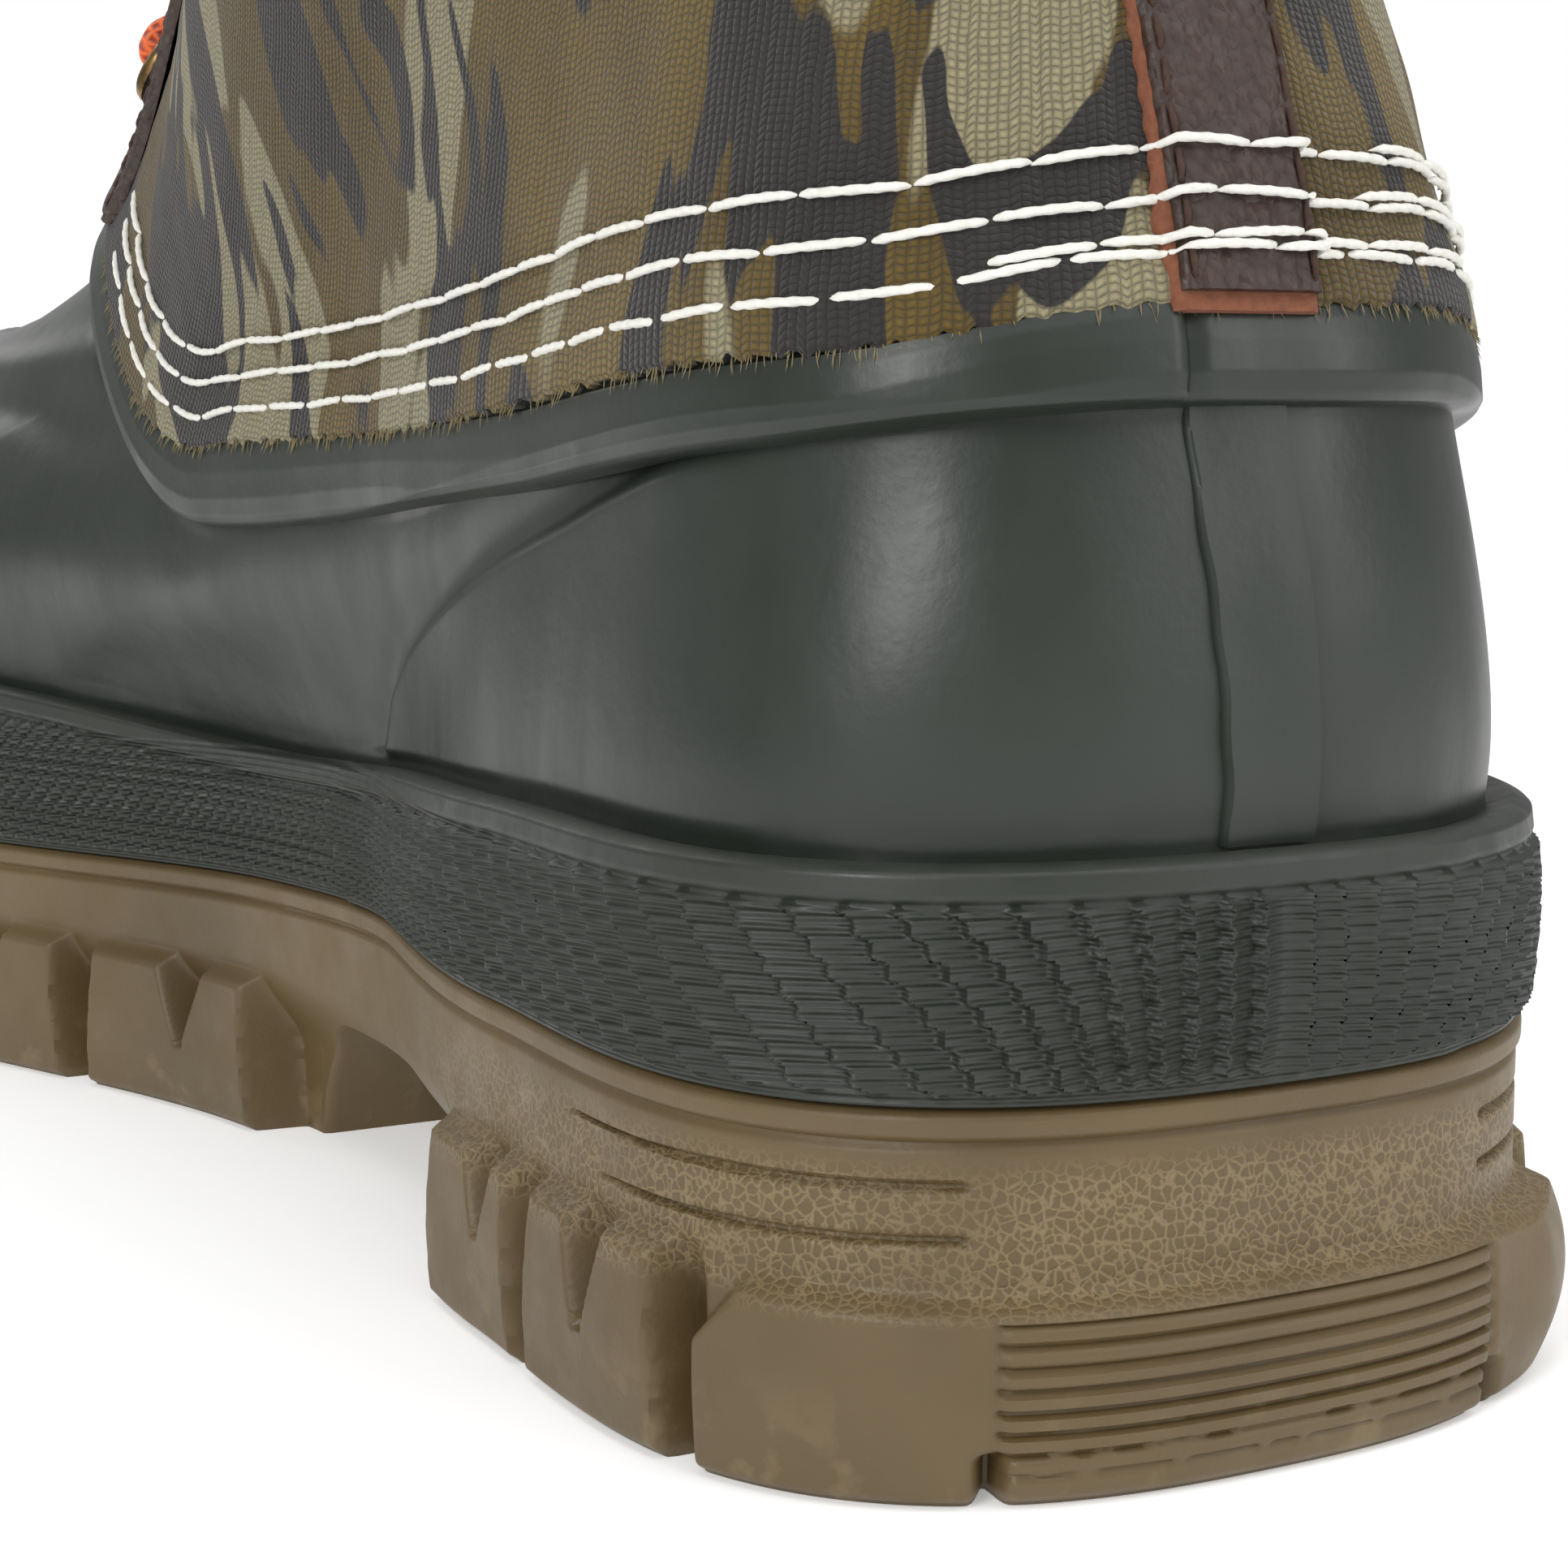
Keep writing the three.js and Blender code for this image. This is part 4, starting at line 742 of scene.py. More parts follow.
def lug_shares(g, height):
    """1 where a lug stands out of the wall and 0 between the lugs, with soft edges."""
    lugs = np.zeros(height.shape)
    for corners in HEEL_LUGS + FORE_LUGS:
        lugs = np.maximum(lugs, inside(g, height, corners, SOFT_EDGE))
    block_top = 14.2 - 0.5 * smooth((BLOCK_END - g) / 20) - 5.5 * smooth((g - BLOCK_END + 5) / 7)
    block = smooth((block_top - height) / SOFT_EDGE + 0.5) * smooth((BLOCK_END - g) / SOFT_EDGE + 0.5)
    toe = smooth((12.5 - height) / 2 + 0.5) * smooth((g - TOE_START) / SOFT_EDGE)
    for cut in TOE_CUTS:
        toe *= 1 - bell(g - cut, 1.3) * smooth((9.5 - height) / 2)
    return np.maximum(np.maximum(lugs, block), toe)


def rib_relief(girth, height):
    """The back block's level ribs, worn near the ground, between two slots."""
    g = np.abs(girth)
    phase = (height - RIB_LOW) / (RIB_TOP - RIB_LOW) * RIB_COUNT
    in_ribs = (smooth((SLOT_GIRTH - g) / 0.6 + 0.5) * smooth((height - RIB_LOW) / 0.3 + 0.5)
               * smooth((RIB_TOP - height) / 0.3 + 0.5))
    valley = smooth((np.abs(phase - np.floor(phase) - 0.5) - 0.26) / 0.16)
    torn = 0.5 + 0.5 * np.sin(g * 0.9 + np.sin(height * 2.1 + girth) * 1.3)
    wear = 1 - 0.75 * smooth((6 - height) / 4) * smooth((torn - 0.55) / 0.3)
    slot = bell(g - SLOT_GIRTH - 0.5, SLOT_HALF) * smooth((4.3 - height) / 1.2)
    edge = bell(g - SLOT_GIRTH, 0.45) * smooth((RIB_TOP + 0.6 - height) / 1)
    return -RIB_DEPTH * in_ribs * valley * wear - 3.2 * slot - 0.35 * edge


def wall_relief(girth, s, z):
    """How far the outsole's wall stands out, from its lugs, channels, ribs, grooves and lip."""
    g = np.abs(girth)
    height = z - spring_at(s)
    lugs = lug_shares(g, height)
    sides = smooth((g - BLOCK_END) / 2)
    channel = -4.2 * smooth((LUG_TOP + 1.8 - height) / 9) * sides * smooth((TOE_START - g) / 3 + 1)
    corner = smooth((-girth - 22) / 7) * smooth((BLOCK_END + girth) / 5)
    swell = 2.0 + (0.5 + 1.7 * corner) * np.sin(np.clip(height / LUG_TOP, 0, 1) * math.pi)
    relief = mix(channel, swell, lugs) - 1.1 * lugs * smooth((1.4 - height) / 1.4) ** 2
    relief = relief + rib_relief(girth, height)
    for line_z, line_end in ENGRAVED:
        line = line_z - 0.9 * smooth((26 - g) / 24)
        width = 0.3 * smooth((line_end - g) / 26) + 0.05
        cut = np.exp(-(((height - line) / width) ** 4)) * smooth((g - 22) / 0.8)
        relief = relief - 0.75 * cut * smooth((line_end - g) / 6)
    # The lip at the top, with a fine groove under it.
    below_top = sole_top(s) - z
    relief = relief - 0.45 * bell(below_top - 2.5, 0.35) + 0.35 * smooth((2.5 - below_top) / 0.6)
    return relief - 1.0 * smooth((0.9 - below_top) / 0.9) ** 2


def outsole():
    """One closed grid: the tread out from the middle line, the wall, and a lid under the foxing."""
    u = even_turns(2300)
    rows = np.linspace(0, 1, 112)[None]
    s = -plan_at(u)[..., 1]
    z = mix(arch_height(s) + spring_at(s), sole_top(s), rows)
    wall = xyz(plan_at(u, wall_relief(girth_at(u), s, z)), z)
    inward = np.linspace(0, 1, 46)[None]
    foot = wall[:, :1]
    spine = np.clip(-foot[..., 1], 30, BOOT_LENGTH - 34)
    middle = np.stack([centre_at(spine), -spine, 0 * spine], -1)
    tread = foot + (middle - foot) * inward[..., None]
    tread_s = -tread[..., 1]
    width = np.linalg.norm((tread - foot)[..., :2], axis=-1)
    chevron = (tread_s + 0.55 * np.abs(tread[..., 0] - centre_at(tread_s))) / TREAD_PITCH
    bars = smooth((np.abs(chevron % 1 - 0.5) - 0.2) / 0.07)
    recess = 4.2 * smooth((width - 9) / 1.5) * bars * (arch_height(tread_s) < 0.5)
    tread[..., 2] = arch_height(tread_s) + spring_at(tread_s) + recess * (inward > 0)
    tread[:, 0] = wall[:, 0]
    lid = plan_at(u, np.array([[-4.0, -12.0]]))
    lid = xyz(lid, sole_top(-lid[..., 1]))
    grid = np.concatenate([tread[:, ::-1], wall[:, 1:], lid], axis=1)
    piece = ring_of("outsole_rubber", grid, surface_sizes(grid, True), GUM, 55)
    place(piece, "gum_rubber", "outsole")


# ---- Foxing band ----

FOXING_STRIP = 2.8
FOXING_LIP = 3.1
KNURL_START = 128


column_pitch = through((0, 2.7), (18, 2.9), (34, 4.4), (70, 4.1), (104, 3.0), (150, 2.7), (380, 2.7))
column_stops = np.linspace(0, 380, 1500)
column_counts = np.concatenate([[0], np.cumsum(np.diff(column_stops) / column_pitch(column_stops[1:]))])


def foxing_relief(girth, height, total):
    """The foxing's moulded pattern: slanting columns of hooked steps under a plain rounded strip."""
    g = np.abs(girth)
    slant = 0.78 * smooth((g - 4) / 24)
    step = (height / 1.45) % 1
    hook = np.minimum(step / 0.65, (1 - step) / 0.35)
    phase = np.interp(g - slant * (height - 6), column_stops, column_counts) + 0.2 * hook
    rise = phase - np.floor(phase)
    wedge = (0.05 + 1.2 * rise ** 2) * smooth(rise / 0.2) * smooth((1 - rise) / 0.14)
    # Ahead of the heel the pattern is a knurl of slanting beads.
    bead = np.abs(np.sin((g + 1.25 * height) * math.pi / 2.7))
    knurl = 0.85 * bead * smooth(rise * 2.2) * smooth((1 - rise) / 0.2)
    pattern = mix(wedge, knurl, smooth((g - KNURL_START) / 6))
    panel = smooth((total - FOXING_STRIP - height) / 0.5) * smooth((height - 0.5) / 0.5)
    strip = smooth((height - total + FOXING_STRIP) / 0.7)
    lap = smooth((KNURL_START - g) / 0.8) * 0.35 * smooth((girth + 20) / 4)
    round_top = 1.3 * smooth((height - total + 0.8) / 0.8) ** 2
    return pattern * panel + 0.55 * strip + lap - round_top


def foxing():
    u = even_turns(2700)
    rows = np.linspace(0, 1, 72)[None]
    s = -plan_at(u)[..., 1]
    low = sole_top(s) + 0.1
    total = foxing_top(s) - low
    height = rows * total
    bow = FOXING_BULGE * 0.55 * np.sin(rows * math.pi)
    wall = xyz(plan_at(u, bow + foxing_relief(girth_at(u), height, total)), low + height)
    inset = plan_at(u, -FOXING_LIP)
    lid = xyz(inset, foxing_top(-inset[..., 1]) - 0.6)
    under = xyz(inset, sole_top(-inset[..., 1]) + 0.1)
    grid = np.concatenate([under, wall, lid], axis=1)
    sizes = surface_sizes(grid, True).copy()
    # The fine ridges follow the true height, not the way over the moulded pattern.
    true_height = np.concatenate([-FOXING_LIP + 0 * total, height, total + FOXING_LIP], axis=1)
    sizes[..., 1] = np.concatenate([true_height, true_height[:1]]) * MM
    place(ring_of("foxing", grid, sizes, FOXING, 70), "green_rubber", "foxing_band")


# ---- Rubber shell, its rim and the heel stay ----

# The line of the crease on the heel's side: height above the ground at distances s.
crease_line = through((14, 71.5), (20.7, 70.7), (31.5, 69.2), (49.8, 64.2), (65.5, 59.7), (84, 53.1),
                      (93, 48.5), (102, 40.5))


def shell_relief(points):
    """Depth changes of the rubber: a crease on each side, soft unevenness and moulded ridges on the toe."""
    s = -points[..., 1]
    z = points[..., 2]
    side = np.where(points[..., 0] > centre_at(s), 1.0, 0.6)
    fall = crease_line(s) - z
    ends = smooth((s - 16) / 16) * smooth((107 - s) / 9)
    raised = smooth((fall + 0.6) / 2.6) * np.exp(-np.maximum(fall, 0) / 15)
    trough = bell(fall + 2.0, 2.6)
    relief = side * ends * (1.25 * raised - 0.55 * trough)
    relief = relief + 0.35 * ripple(points, (62, 41, 27), 0.4)
    # A moulded seam crosses the toe in a curve, with pleats beside it, like a sewn apron.
    apron = through((RIM_FRONT_S - 70, 26), (RIM_FRONT_S - 20, 31), (RIM_FRONT_S + 30, 27),
                    (BOOT_LENGTH - 32, 6))
    off = np.abs(points[..., 0] - centre_at(s)) - apron(s)
    front = smooth((s - 140) / 20) * smooth((BOOT_LENGTH - 28 - s) / 8)
    relief = relief + 0.9 * front * bell(off, 1.5) - 0.55 * front * bell(off - 3.2, 1.3)
    toe_edge = bell(s - BOOT_LENGTH + 30, 1.6) * smooth((9 - np.abs(points[..., 0] - centre_at(s))) / 6)
    return relief + 0.9 * toe_edge


def rubber_shell():
    u = even_turns(860)
    v = np.concatenate([np.linspace(-0.25, 0, 6), np.linspace(0, 1, 112)[1:],
                        np.linspace(1, 1.09, 8)[1:]])[None]
    fade = smooth(v / 0.06) * smooth((1.0 - v) / 0.05 + 0.1)
    relief = np.where(v < 0, 0, shell_relief(upper_at(u, v))) * fade
    piece = sheet("shell", u, v, -relief - 0.02, 1.9, RUBBER, closed=True)
    place(piece, "green_rubber", "rubber_shell")


# Rim profile from its lower edge to its top: share of the band's height, and how far it stands out.
RIM_PROFILE = ((0.0, 0.5), (0.03, 1.5), (0.1, 2.1), (0.25, 2.5), (0.5, 2.65), (0.68, 2.55), (0.79, 2.35),
               (0.815, 1.3), (0.84, 2.3), (0.93, 2.0), (0.985, 1.5), (1.0, 0.7))


# How far the canvas's lower edge and the rim's lower edge dip along each side of the ankle, in heights v.
canvas_dip = through((0, 0), (0.062, -0.047), (0.141, -0.03), (0.25, 0.004), (0.306, -0.025), (0.38, 0))
rim_dip = through((0, 0), (0.03, -0.025), (0.082, -0.09), (0.122, -0.085), (0.188, -0.008), (0.25, 0))


def round_back(u):
    """Distance from the back in turns; the outer side's lines dip a little later."""
    u = (np.asarray(u) + 0.5) % 1 - 0.5
    return np.where(u < 0, np.maximum(-u - 0.03, 0), u)


def canvas_foot(u):
    return CANVAS_FOOT + canvas_dip(round_back(u))


def rim():
    u = even_turns(760)
    away = round_back(u)
    rows = np.linspace(0, 1, 52)[None]
    v = mix(0.995 + rim_dip(away), CANVAS_BOTTOM + 0.012 + canvas_dip(away), rows)
    profile = np.interp(rows, *np.array(RIM_PROFILE).T)
    # A moulded seam stands beside the heel stay, where the rim's thickness steps.
    seam = bell(girth_at(u) - 5.6, 0.35)
    lap = 0.25 * smooth((girth_at(u) - 5.6) / 0.8) * smooth((60 - girth_at(u)) / 50)
    outward = profile - 0.5 * seam + lap + 0.12 * ripple(upper_at(u, v), (45, 23), 1.0)
    piece = sheet("rim", u, v, -outward, 0.1, RUBBER, closed=True, angle=60)
    place(piece, "green_rubber", "shell_rim")


def strip_turns(width_in, width_out, v, columns):
    """Places of a strip up the back: grid of u for distances from the middle line at each height v."""
    girth = back_girth(v)
    return np.linspace(0, 1, columns)[:, None] * (width_in + width_out) * girth - width_out * girth


def heel_stay():
    v = np.concatenate([np.linspace(0.0, 0.97, 90), [0.995]])[None]
    u = strip_turns(mix(2.6, 5.2, smooth(v)), mix(6.6, 5.2, smooth(v)), v, 44)
    across = np.linspace(-1, 1, 44)[:, None]
    rounding = smooth((1 - np.abs(across)) / 0.09)
    base = upper_at(u, v)
    # The stay's edges wrinkle where the rubber was stretched over the counter.
    wobble = 0.25 * np.sin(base[..., 2] * 0.9) * bell(across - 0.9, 0.2)
    depth = 0.12 + rounding * 0.62 + 0.3 * ripple(base, (30, 17), 2.0) * rounding
    depth = depth + shell_relief(base) * smooth(v / 0.06)
    piece = sheet("stay", u + wobble * STEP * 0.25, v, -depth, 0.3, RUBBER, angle=50)
    place(piece, "green_rubber", "heel_stay")

# ---- Canvas shaft ----

CANVAS_FACE = 2.35
STRAP_FACE = 4.15
STRAP_HALF = 7.75
STRAP_STITCH_AT = 6.3
STRAP_FOOT = 1.1
SHAFT_TOP = 2.985
ROW_RISES = (10.5, 7.0, 3.4)
STITCH = 7.3
THREAD_RADIUS = 0.37
LEATHER_STITCH = dict(pitch=3.1, radius=0.27, gap=0.2, lift=0.42)
QUARTER_COLUMNS = 300
SIDES = ((1, "medial"), (-1, "lateral"))


def arc_rows(v, arcs, side):
    """Places round the surface for a grid: arcs by heights v, as distances from the middle of the throat."""
    return np.stack([arc_u(row, np.atleast_1d(arcs), side) for row in v], axis=1)


def back_girth(v):
    """How much u makes a millimetre across the middle of the back."""
    return 2 * STEP / np.linalg.norm(upper_at(STEP, v) - upper_at(-STEP, v), axis=-1)


def quarter_places(v, columns, side):
    """Places from the throat's edge round to the back, for a grid of columns by heights v."""
    front = arc_rows(v, THROAT_HALF, side)
    turn = np.where(front < 0, front + 1, front) if side > 0 else np.where(front > 0, front - 1, front)
    return mix(turn, side * 0.2 * back_girth(v)[None], np.linspace(0, 1, columns)[:, None])


def v_above(u, rise):
    """The height v at a distance above the canvas's lower edge."""
    stops = mix(canvas_foot(u)[:, None], 1.5, np.linspace(0, 1, 60)[None])
    lengths = running(upper_at(u[:, None], stops), 1)
    return np.array([np.interp(rise, row, stop) for row, stop in zip(lengths, stops)])


def rounded_edge(t, share):
    """1 in the middle of 0 to 1 and a quarter-round fall to 0 at both ends."""
    near = np.clip(np.minimum(t, 1 - t) / share, 0, 1)
    return np.sqrt(1 - (1 - near) ** 2)


def quarter(side, word):
    v = np.concatenate([np.linspace(CANVAS_FOOT, 1.35, 56), np.linspace(1.35, SHAFT_TOP, 110)[1:]])
    u = quarter_places(v, QUARTER_COLUMNS, side)
    v_grid = v[None] + (canvas_foot(u) - CANVAS_FOOT) * (1 - smooth((v - CANVAS_FOOT) / 0.26))
    # The raw lower edge is a little uneven.
    column = np.arange(QUARTER_COLUMNS)
    v_grid[:, 0] += 0.006 * np.sin(column * 1.9) * np.sin(column * 0.37 + 1)
    base = upper_at(u, v_grid)
    relief = 0.45 * ripple(base, (55, 34, 21), 0.3) + 0.12 * ripple(base, (9, 6), 1.1)
    foot = smooth((1.2 - v_grid) / 0.1)
    relief = relief * (1 - 0.7 * foot) + 0.45 * foot * smooth((v - CANVAS_FOOT) / 0.01 + 0.4)
    top = smooth((v_grid - 2.9) / 0.07)
    piece = sheet("canvas_" + word, u, v_grid, -(CANVAS_FACE + relief) + 1.0 * top, -0.55, CANVAS,
                  turned=side > 0)
    place(piece, "camo_canvas", "quarter_" + word)


def face_depth(u):
    """How far out the cloth or the strap lies at a place round the foot of the shaft."""
    distance = np.abs(u) / back_girth(1.15)
    return CANVAS_FACE + 0.35 + (STRAP_FACE - CANVAS_FACE + 0.1) * smooth((STRAP_HALF + 0.9 - distance) / 1.2)


def stitches(points_at, start, end, pitch, radius, seed=0.0, gap=-0.3, lift=0.5):
    """Twisted thread in separate stitches; points_at takes distances, heights and shifts aside."""
    parts = []
    t = np.linspace(0, 1, 15)
    height = (lift + 0.3) * np.maximum(np.sin(t * math.pi), 0) ** 0.35 - 0.6
    for k in range(int((end - start) / pitch)):
        skew = 0.22 * math.sin(k * 2.4 + seed)
        along = start + k * pitch + gap / 2 + t * (pitch - gap)
        parts.append(tube(points_at(along, height, skew * (t - 0.5) * 2), radius, 9, 2, 1.9, 0.3))
    return parts


def foot_stitches():
    """Three rows round the foot of the shaft, each sewn over again for a way near the back."""
    parts = []
    front = float(arc_u(1.2, THROAT_HALF + EYESTAY_WIDTH - 2.0, 1))
    runs = [(rise, -front, front, 0.0, 0.0) for rise in ROW_RISES]
    again = ((0.8, -0.06, 0.034, 3.1), (0.75, -0.075, -0.012, 2.2), (0.7, -0.07, -0.012, 3.6))
    runs += [(rise + more, first, last, shift, 0.5)
             for rise, (more, first, last, shift) in zip(ROW_RISES[::-1], again)]
    for k, (rise, first, last, shift, lift) in enumerate(runs):
        u = np.linspace(first, last, 700)
        v = v_above(u, rise)
        lengths = running(upper_at(u, v))

        def points_at(along, height, aside):
            place_u = np.interp(along, lengths, u)
            place_v = np.interp(along, lengths, v) + aside * 0.012
            return layer_at(place_u, place_v, -(face_depth(place_u) + height + lift * 0.3))
        parts += stitches(points_at, shift, lengths[-1], STITCH, THREAD_RADIUS, k * 1.3)
    place(joined("foot_stitching", parts, WHITE), None)


def fuzz():
    """Loose fibres along the canvas's raw lower edge."""
    rng = np.random.default_rng(7)
    parts = []
    t = np.linspace(0, 1, 4)
    for u in np.sort(rng.uniform(-0.36, 0.36, 900)):
        length, lean, out = rng.uniform(0.5, 1.7), rng.normal(0, 0.5), rng.uniform(0.0, 0.5)
        v = float(canvas_foot(u)) + 0.006 - 0.015 * length * t
        depth = -(CANVAS_FACE + 0.15 + out * t)
        parts.append(tube(layer_at(u + lean * STEP / 1.4 * 0.5 * t * t, v, depth), 0.07, 4))
    place(joined("canvas_fuzz", parts, FUZZ), "camo_canvas")


def back_strap():
    v = np.concatenate([np.linspace(STRAP_FOOT, 1.4, 70), np.linspace(1.4, SHAFT_TOP, 160)[1:]])[None]
    t = np.linspace(0, 1, 46)[:, None]
    u = strip_turns(STRAP_HALF, STRAP_HALF, v, 46)
    groove = bell(np.abs(t - 0.5) * 2 * STRAP_HALF - STRAP_STITCH_AT, 0.5)
    creases = 0.18 * ripple(upper_at(0 * t, v), (14, 9, 6), 0.9)
    depth = 3.0 + 1.15 * rounded_edge(t, 0.09) + creases - 0.22 * groove
    place(sheet("strap", u, v, -depth, -2.75, LEATHER), "brown_leather", "back_strap")
    # The strap's raw underside shows as a pale ragged edge on the inner side and along its foot.
    v = np.concatenate([np.linspace(1.082, 1.4, 90), np.linspace(1.4, 2.98, 160)[1:]])[None]
    reach = STRAP_HALF + 0.75 + 1.1 * bell(v - 1.17, 0.045) + 0.18 * np.sin(v * 190)
    u = strip_turns(reach, STRAP_HALF + 0.15, v, 30)
    rounding = rounded_edge(np.linspace(0, 1, 30)[:, None], 0.12)
    edge = sheet("strap_raw_edge", u, v, -(2.75 + 0.62 * rounding), -2.42, SUEDE)
    place(edge, "brown_leather")
    parts = []
    heights = np.linspace(STRAP_FOOT, 2.97, 500)
    lengths = running(upper_at(0 * heights, heights))
    for side in (1, -1):
        def points_at(along, height, aside):
            v_at = np.interp(along, lengths, heights)
            place_u = side * (STRAP_STITCH_AT + aside) * back_girth(v_at)
            return layer_at(place_u, v_at, -(STRAP_FACE - 0.12 + height))
        parts += stitches(points_at, 0.5, lengths[-1], seed=side, **LEATHER_STITCH)
    place(joined("strap_stitching", parts, BROWN_THREAD), None)


def arc_point(v, arc, depth):
    u = arc_u(v, np.array([abs(float(arc))]), 1 if arc > 0 else -1)
    return layer_at(u, v, depth)[0]


def eyestay(side, word):
    """The leather beside the throat, with a row of stitching along each edge."""
    v = np.linspace(1.115, SHAFT_TOP, 210)
    t = np.linspace(0, 1, 52)[:, None]
    u = arc_rows(v, THROAT_HALF - 0.2 + t[:, 0] * (EYESTAY_WIDTH + 0.4), side)
    edges = (2.2, EYESTAY_WIDTH - 1.8)
    creases = 0.15 * ripple(upper_at(u, v), (16, 9), 0.2) * smooth(v[None] - 1)
    depth = 2.75 + 1.2 * rounded_edge(t, 0.05) + creases
    for edge in edges:
        depth = depth - 0.2 * bell(t * EYESTAY_WIDTH - edge, 0.5)
    piece = sheet("eyestay_leather_" + word, u, v, -depth, -2.7, LEATHER, turned=side > 0)
    place(piece, "brown_leather", "eyestay_" + word)
    parts = []
    for edge in edges:
        edge_u = arc_rows(v, THROAT_HALF + edge, side)[0]
        lengths = running(upper_at(edge_u, v))

        def points_at(along, height, aside):
            return layer_at(np.interp(along, lengths, edge_u) + aside * 0.0006, np.interp(along, lengths, v),
                            -(3.85 + height))
        parts += stitches(points_at, 1.0, lengths[-1], seed=edge, **LEATHER_STITCH)
    place(joined("eyestay_stitching_" + word, parts, BROWN_THREAD), None)


def throat_leather():
    v = np.linspace(1.112, 1.262, 30)
    arcs = np.linspace(0, THROAT_HALF - 0.4, 24)
    u_in = arc_rows(v, arcs, 1)
    u_out = arc_rows(v, arcs, -1)
    u = np.concatenate([u_in[::-1], np.where(u_out < 0, u_out + 1, u_out)[1:]])
    t = np.linspace(0, 1, len(u))[:, None]
    depth = 2.6 + 1.35 * rounded_edge(t, 0.05) * rounded_edge(np.linspace(0, 1, 30)[None], 0.1)
    piece = sheet("throat_patch", u, v, -depth, -0.4, LEATHER)
    place(piece, "brown_leather", "throat_leather")


def tongue_spread(v):
    """The share of its full width that the tongue has at heights v: it narrows towards its foot."""
    return mix(0.72, 1, smooth(np.interp(v, [1.15, 1.205, 1.3, 1.5, 1.75], [0, 1, 2, 3, 4]) / 4))


def tongue():
    v = np.linspace(1.15, 3.19, 150)
    spread = tongue_spread(v)
    arcs = np.linspace(-TONGUE_HALF, TONGUE_HALF, 111)
    columns = []
    for arc in arcs:
        scaled = np.abs(np.where(abs(arc) > 12, arc * spread, arc))
        places = np.array([arc_u(row, a, 1 if arc >= 0 else -1) for row, a in zip(v, scaled)])
        columns.append(np.where(places < 0, places + 1, places))
    u = np.stack(columns)
    fill = mix(2, -1, smooth((v - 1.28) / 0.2))[None]
    face = mix(fill, 8.4, smooth((np.abs(arcs)[:, None] - THROAT_HALF + 5.5) / 3.5))
    t = np.linspace(0, 1, 111)[:, None]
    top = rounded_edge(np.linspace(0, 1, 150)[None], 0.03)
    rim_line = bell(v[None] - 3.1, 0.018) * 0.7
    face = face + 0.35 * ripple(upper_at(u, v), (24, 15), 0.6) + rim_line + 2.2 * (1 - top)
    back = 13.3 - 1.8 * (1 - rounded_edge(t, 0.1)) - 2.0 * (1 - top)
    piece = sheet("tongue_pad", u, v, face, back, CANVAS, turned=True)
    place(piece, "camo_canvas", "tongue", body="tongue")


def gusset(side, word):
    """The thin cloth that joins the tongue to the shaft."""
    v = np.linspace(1.21, 2.97, 90)
    steps = np.linspace(0, 1, 18)
    u = np.stack([arc_u(row, TONGUE_HALF * k + 0.3 + steps * 5.8, side)
                  for row, k in zip(v, tongue_spread(v))], axis=1)
    wave = 0.2 * np.sin(steps[:, None] * 9 + v[None] * 14)
    piece = sheet("gusset_cloth_" + word, u, v, 9.5 + wave, 10.4 + wave, WEBBING, turned=side > 0)
    place(piece, "webbing", "gusset_" + word, body="tongue")


def pile(u, v):
    """The depth of the fleece's soft face."""
    return 0.3 * ripple(upper_at(u, v), (7, 4.3, 2.9), 0.5)


def lining(side, word):
    v = np.linspace(1.11, 2.965, 90)
    u = quarter_places(v, 150, side)
    piece = sheet("fleece_" + word, u, v, LINING_BACK, 7.45 + pile(u, v), FLEECE, turned=side > 0)
    place(piece, "fleece_lining", "lining_" + word)


def throat_binding(side, word):
    """Thin leather over the cut edges of the canvas, insulation and lining beside the tongue."""
    v = np.linspace(1.27, 2.965, 90)
    near, far = [arc_rows(v, THROAT_HALF - inset, side) for inset in (0.45, 0.12)]
    depth = np.linspace(-2.6, 7.3, 8)[:, None]
    piece = slab("throat_binding_" + word, layer_at(near, v, depth), layer_at(far, v, depth), LEATHER,
                 turned=side < 0)
    place(piece, "brown_leather")


def lining_foot():
    u = even_turns(420)
    v = np.concatenate([np.linspace(-0.5, 0, 12), np.linspace(0, 1.088, 70)[1:]])[None]
    piece = sheet("fleece_foot", u, v, LINING_BACK, 7.4 + pile(u, v), FLEECE, closed=True)
    place(piece, "fleece_lining", "lining_foot")


def footbed():
    u = even_turns(300)
    t = np.linspace(0, 1, 40)[None]
    edge = plan_at(u, -(FOXING_WALL + GAP + 7.7 + GAP))
    spine = np.clip(-edge[..., 1], 36, BOOT_LENGTH - 44)
    plan = mix(edge, np.stack([centre_at(spine), -spine], -1), t[..., None])
    base = sole_top(-plan[..., 1]) + 6.6
    cup = 1.5 * (1 - smooth(t / 0.12))
    dimples = 0.12 * np.sin(plan[..., 0] * 1.6) * np.sin(plan[..., 1] * 1.6)
    top = xyz(plan, base + 5 - cup + dimples)
    piece = slab("footbed_pad", xyz(plan, base + 0.05), top, FOOTBED, closed=True)
    place(piece, "footbed_foam", "footbed")


